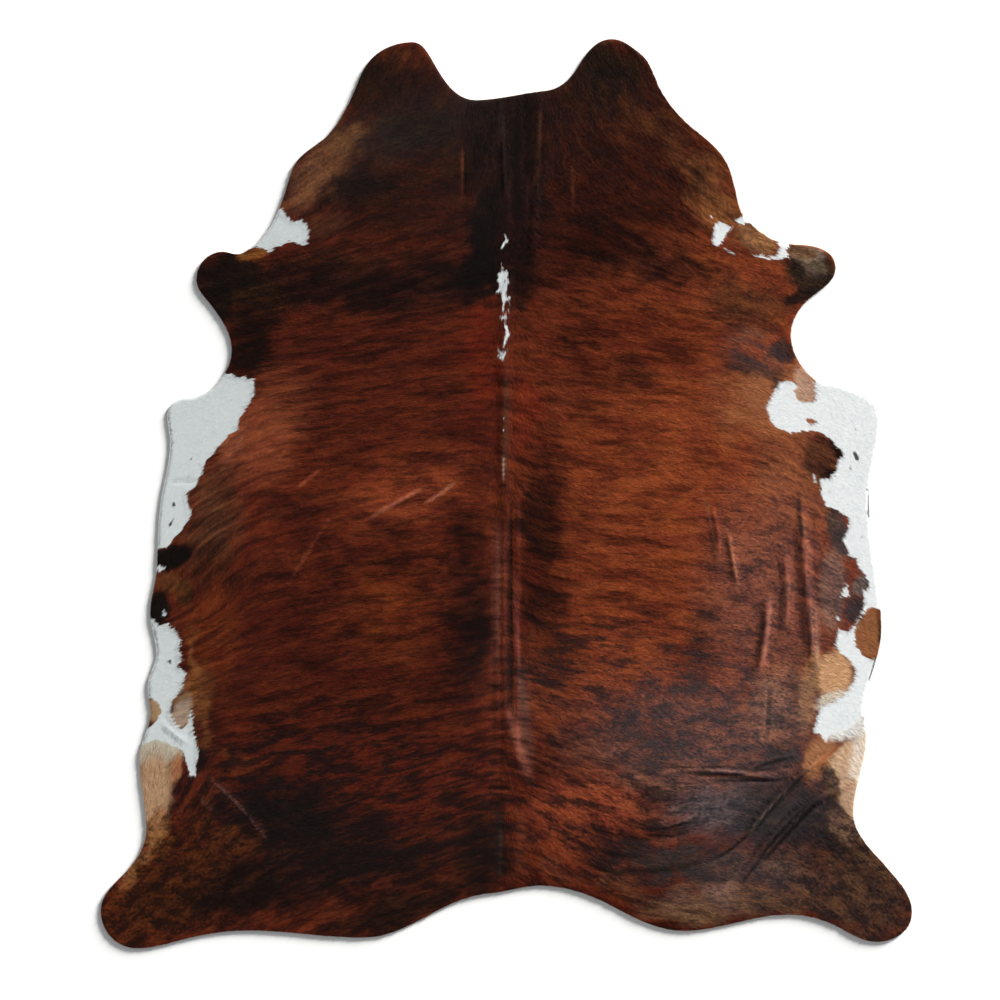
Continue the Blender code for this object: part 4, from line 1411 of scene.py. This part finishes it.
def white_hair(coat):
    """Grainy, greyed by painted shade towards the hide's dimmer left side, and black in the specks."""
    mottle = coat.math("MULTIPLY", coat.noises["mottle"], WHITE_GRAIN_MOTTLE)
    grain = coat.between(coat.math("ADD", coat.noises["hairs"], mottle), *WHITE_GRAIN_RANGE)
    left_shade = coat.between(coat.apart(coat.place())[0], *LEFT_SHADE_SPAN)
    colour = coat.mix(grain, SHADED_WHITE_HAIR, WHITE_HAIR)
    colour = coat.mix(left_shade, colour, LEFT_SHADED_WHITE_HAIR)
    speck = coat.math("MULTIPLY", coat.between(coat.speck_depth, *SPECK_FADE), SPECK_COVER)
    return coat.mix(speck, colour, SPECK_COLOUR)


def coat_material(name):
    """Short brindle hair, on the skin or on the strands themselves."""
    material = bpy.data.materials.new(name)
    coat = CoatWriter(material)
    coloured = coat.mix(dark_share(coat), light_hair(coat), dark_hair(coat))
    colour = coat.mix(white_share(coat), coloured, white_hair(coat))
    # Painted shade: darker at the strands' roots and on the skin under them, lighter towards the tips.
    shade = coat.math("MULTIPLY_ADD", coat.strand_grain, STRAND_SHADE_SPREAD, STRAND_SHADE)
    shade = coat.math("MULTIPLY_ADD", coat.to_tip, STRAND_SHADE_TO_TIP, shade)
    coat.feed(coat.shader, "Base Color", coat.times(colour, coat.grey(shade)))
    roughness = coat.between(coat.noises["hairs"], *FINE_RANGE, *COAT_ROUGHNESS)
    coat.feed(coat.shader, "Roughness", roughness)
    coat.feed(coat.shader, "Specular IOR Level", COAT_SHEEN)
    coat.bump(coat.noises["hairs"], strength=0.35, distance=0.0008)
    return material


SUEDE = (0.46, 0.36, 0.25, 1)
PALE_SUEDE = (0.62, 0.53, 0.41, 1)
DARK_NAP = (0.34, 0.26, 0.18, 1)
NAP_WAVES = (420.0, 420.0, 420.0)
SUEDE_WAVES = (9.0, 9.0, 9.0)
SUEDE_ROUGHNESS = (0.82, 0.95)


def flesh_material():
    """Plain suede, the guessed flesh side."""
    material = bpy.data.materials.new("suede_flesh_side")
    suede = NodeWriter(material)
    place = suede.place()
    nap = suede.noise(place, NAP_WAVES, detail=3.0, rough=0.6, twist=0.0)
    blotch = suede.noise(place, SUEDE_WAVES, detail=4.0, rough=0.6, twist=0.6)
    tan = suede.mix(suede.between(blotch, *WARMTH_RANGE), SUEDE, PALE_SUEDE)
    suede.feed(suede.shader, "Base Color", suede.mix(suede.math("MULTIPLY", nap, 0.5), tan, DARK_NAP))
    suede.feed(suede.shader, "Roughness", suede.between(nap, *FINE_RANGE, *SUEDE_ROUGHNESS))
    suede.bump(nap, strength=0.5, distance=0.0006)
    return material


# ---------------------------------------------------------------- studio

CAMERA_HEIGHT = 12.0
VIEW_WIDTH = 2.343
VIEW_CENTRE = (-0.015, -0.015)
SENSOR_WIDTH = 36.0
FLOOR_SIZE = 16.0
FLOOR_DROP = 0.0002
FLOOR_COLOUR = (0.92, 0.92, 0.92, 1)
SUN_BEARING = 45                # degrees from +X towards +Y
SUN_ELEVATION = 11.5
SUN_SOFTNESS = radians(15)
SUN_ENERGY = 13.3
SUN_COLOUR = (1.0, 0.99, 0.97)
SKY_COLOUR = (0.97, 0.985, 1.0, 1)
SKY_STRENGTH = 0.30


def floor_material():
    material = bpy.data.materials.new("studio_floor")
    floor = NodeWriter(material)
    floor.feed(floor.shader, "Base Color", FLOOR_COLOUR)
    floor.feed(floor.shader, "Roughness", 0.9)
    floor.feed(floor.shader, "Specular IOR Level", 0.0)
    return material


def build_camera():
    data = bpy.data.cameras.new("camera")
    data.type = "PERSP"
    data.sensor_width = SENSOR_WIDTH
    data.lens = SENSOR_WIDTH * CAMERA_HEIGHT / VIEW_WIDTH
    data.clip_end = 100
    camera = new_object("camera", data)
    camera.location = (*VIEW_CENTRE, CAMERA_HEIGHT + LEATHER_THICKNESS)
    bpy.context.scene.camera = camera


def build_floor():
    half = FLOOR_SIZE / 2
    corners = np.array([(-half, -half, 0), (half, -half, 0), (half, half, 0), (-half, half, 0)])
    mesh = triangle_mesh("floor", corners, np.array([(0, 1, 2), (0, 2, 3)]))
    mesh.materials.append(floor_material())
    floor = new_object("floor", mesh)
    floor.location.z = -FLOOR_DROP


def build_sun():
    data = bpy.data.lights.new("key", "SUN")
    data.energy = SUN_ENERGY
    data.angle = SUN_SOFTNESS
    data.color = SUN_COLOUR
    sun = new_object("key", data)
    bearing, elevation = radians(SUN_BEARING), radians(SUN_ELEVATION)
    towards = Vector((cos(bearing) * cos(elevation), sin(bearing) * cos(elevation), sin(elevation)))
    sun.rotation_mode = "QUATERNION"
    sun.rotation_quaternion = towards.to_track_quat("Z", "Y")


def build_sky():
    world = bpy.data.worlds.new("studio")
    bpy.context.scene.world = world
    world.use_nodes = True
    background = world.node_tree.nodes["Background"]
    background.inputs["Color"].default_value = SKY_COLOUR
    background.inputs["Strength"].default_value = SKY_STRENGTH
    bpy.context.scene.view_settings.view_transform = "Standard"


# ---------------------------------------------------------------- everything together

build_camera()
build_sun()
build_sky()
build_floor()
leather = build_leather()
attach(leather, "root")
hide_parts("hide")
hair = []
hair = build_hair()
for piece in hair:
    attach(piece, "root")
area = ring_area(outline_ring(COARSE_EDGE_SPACING))
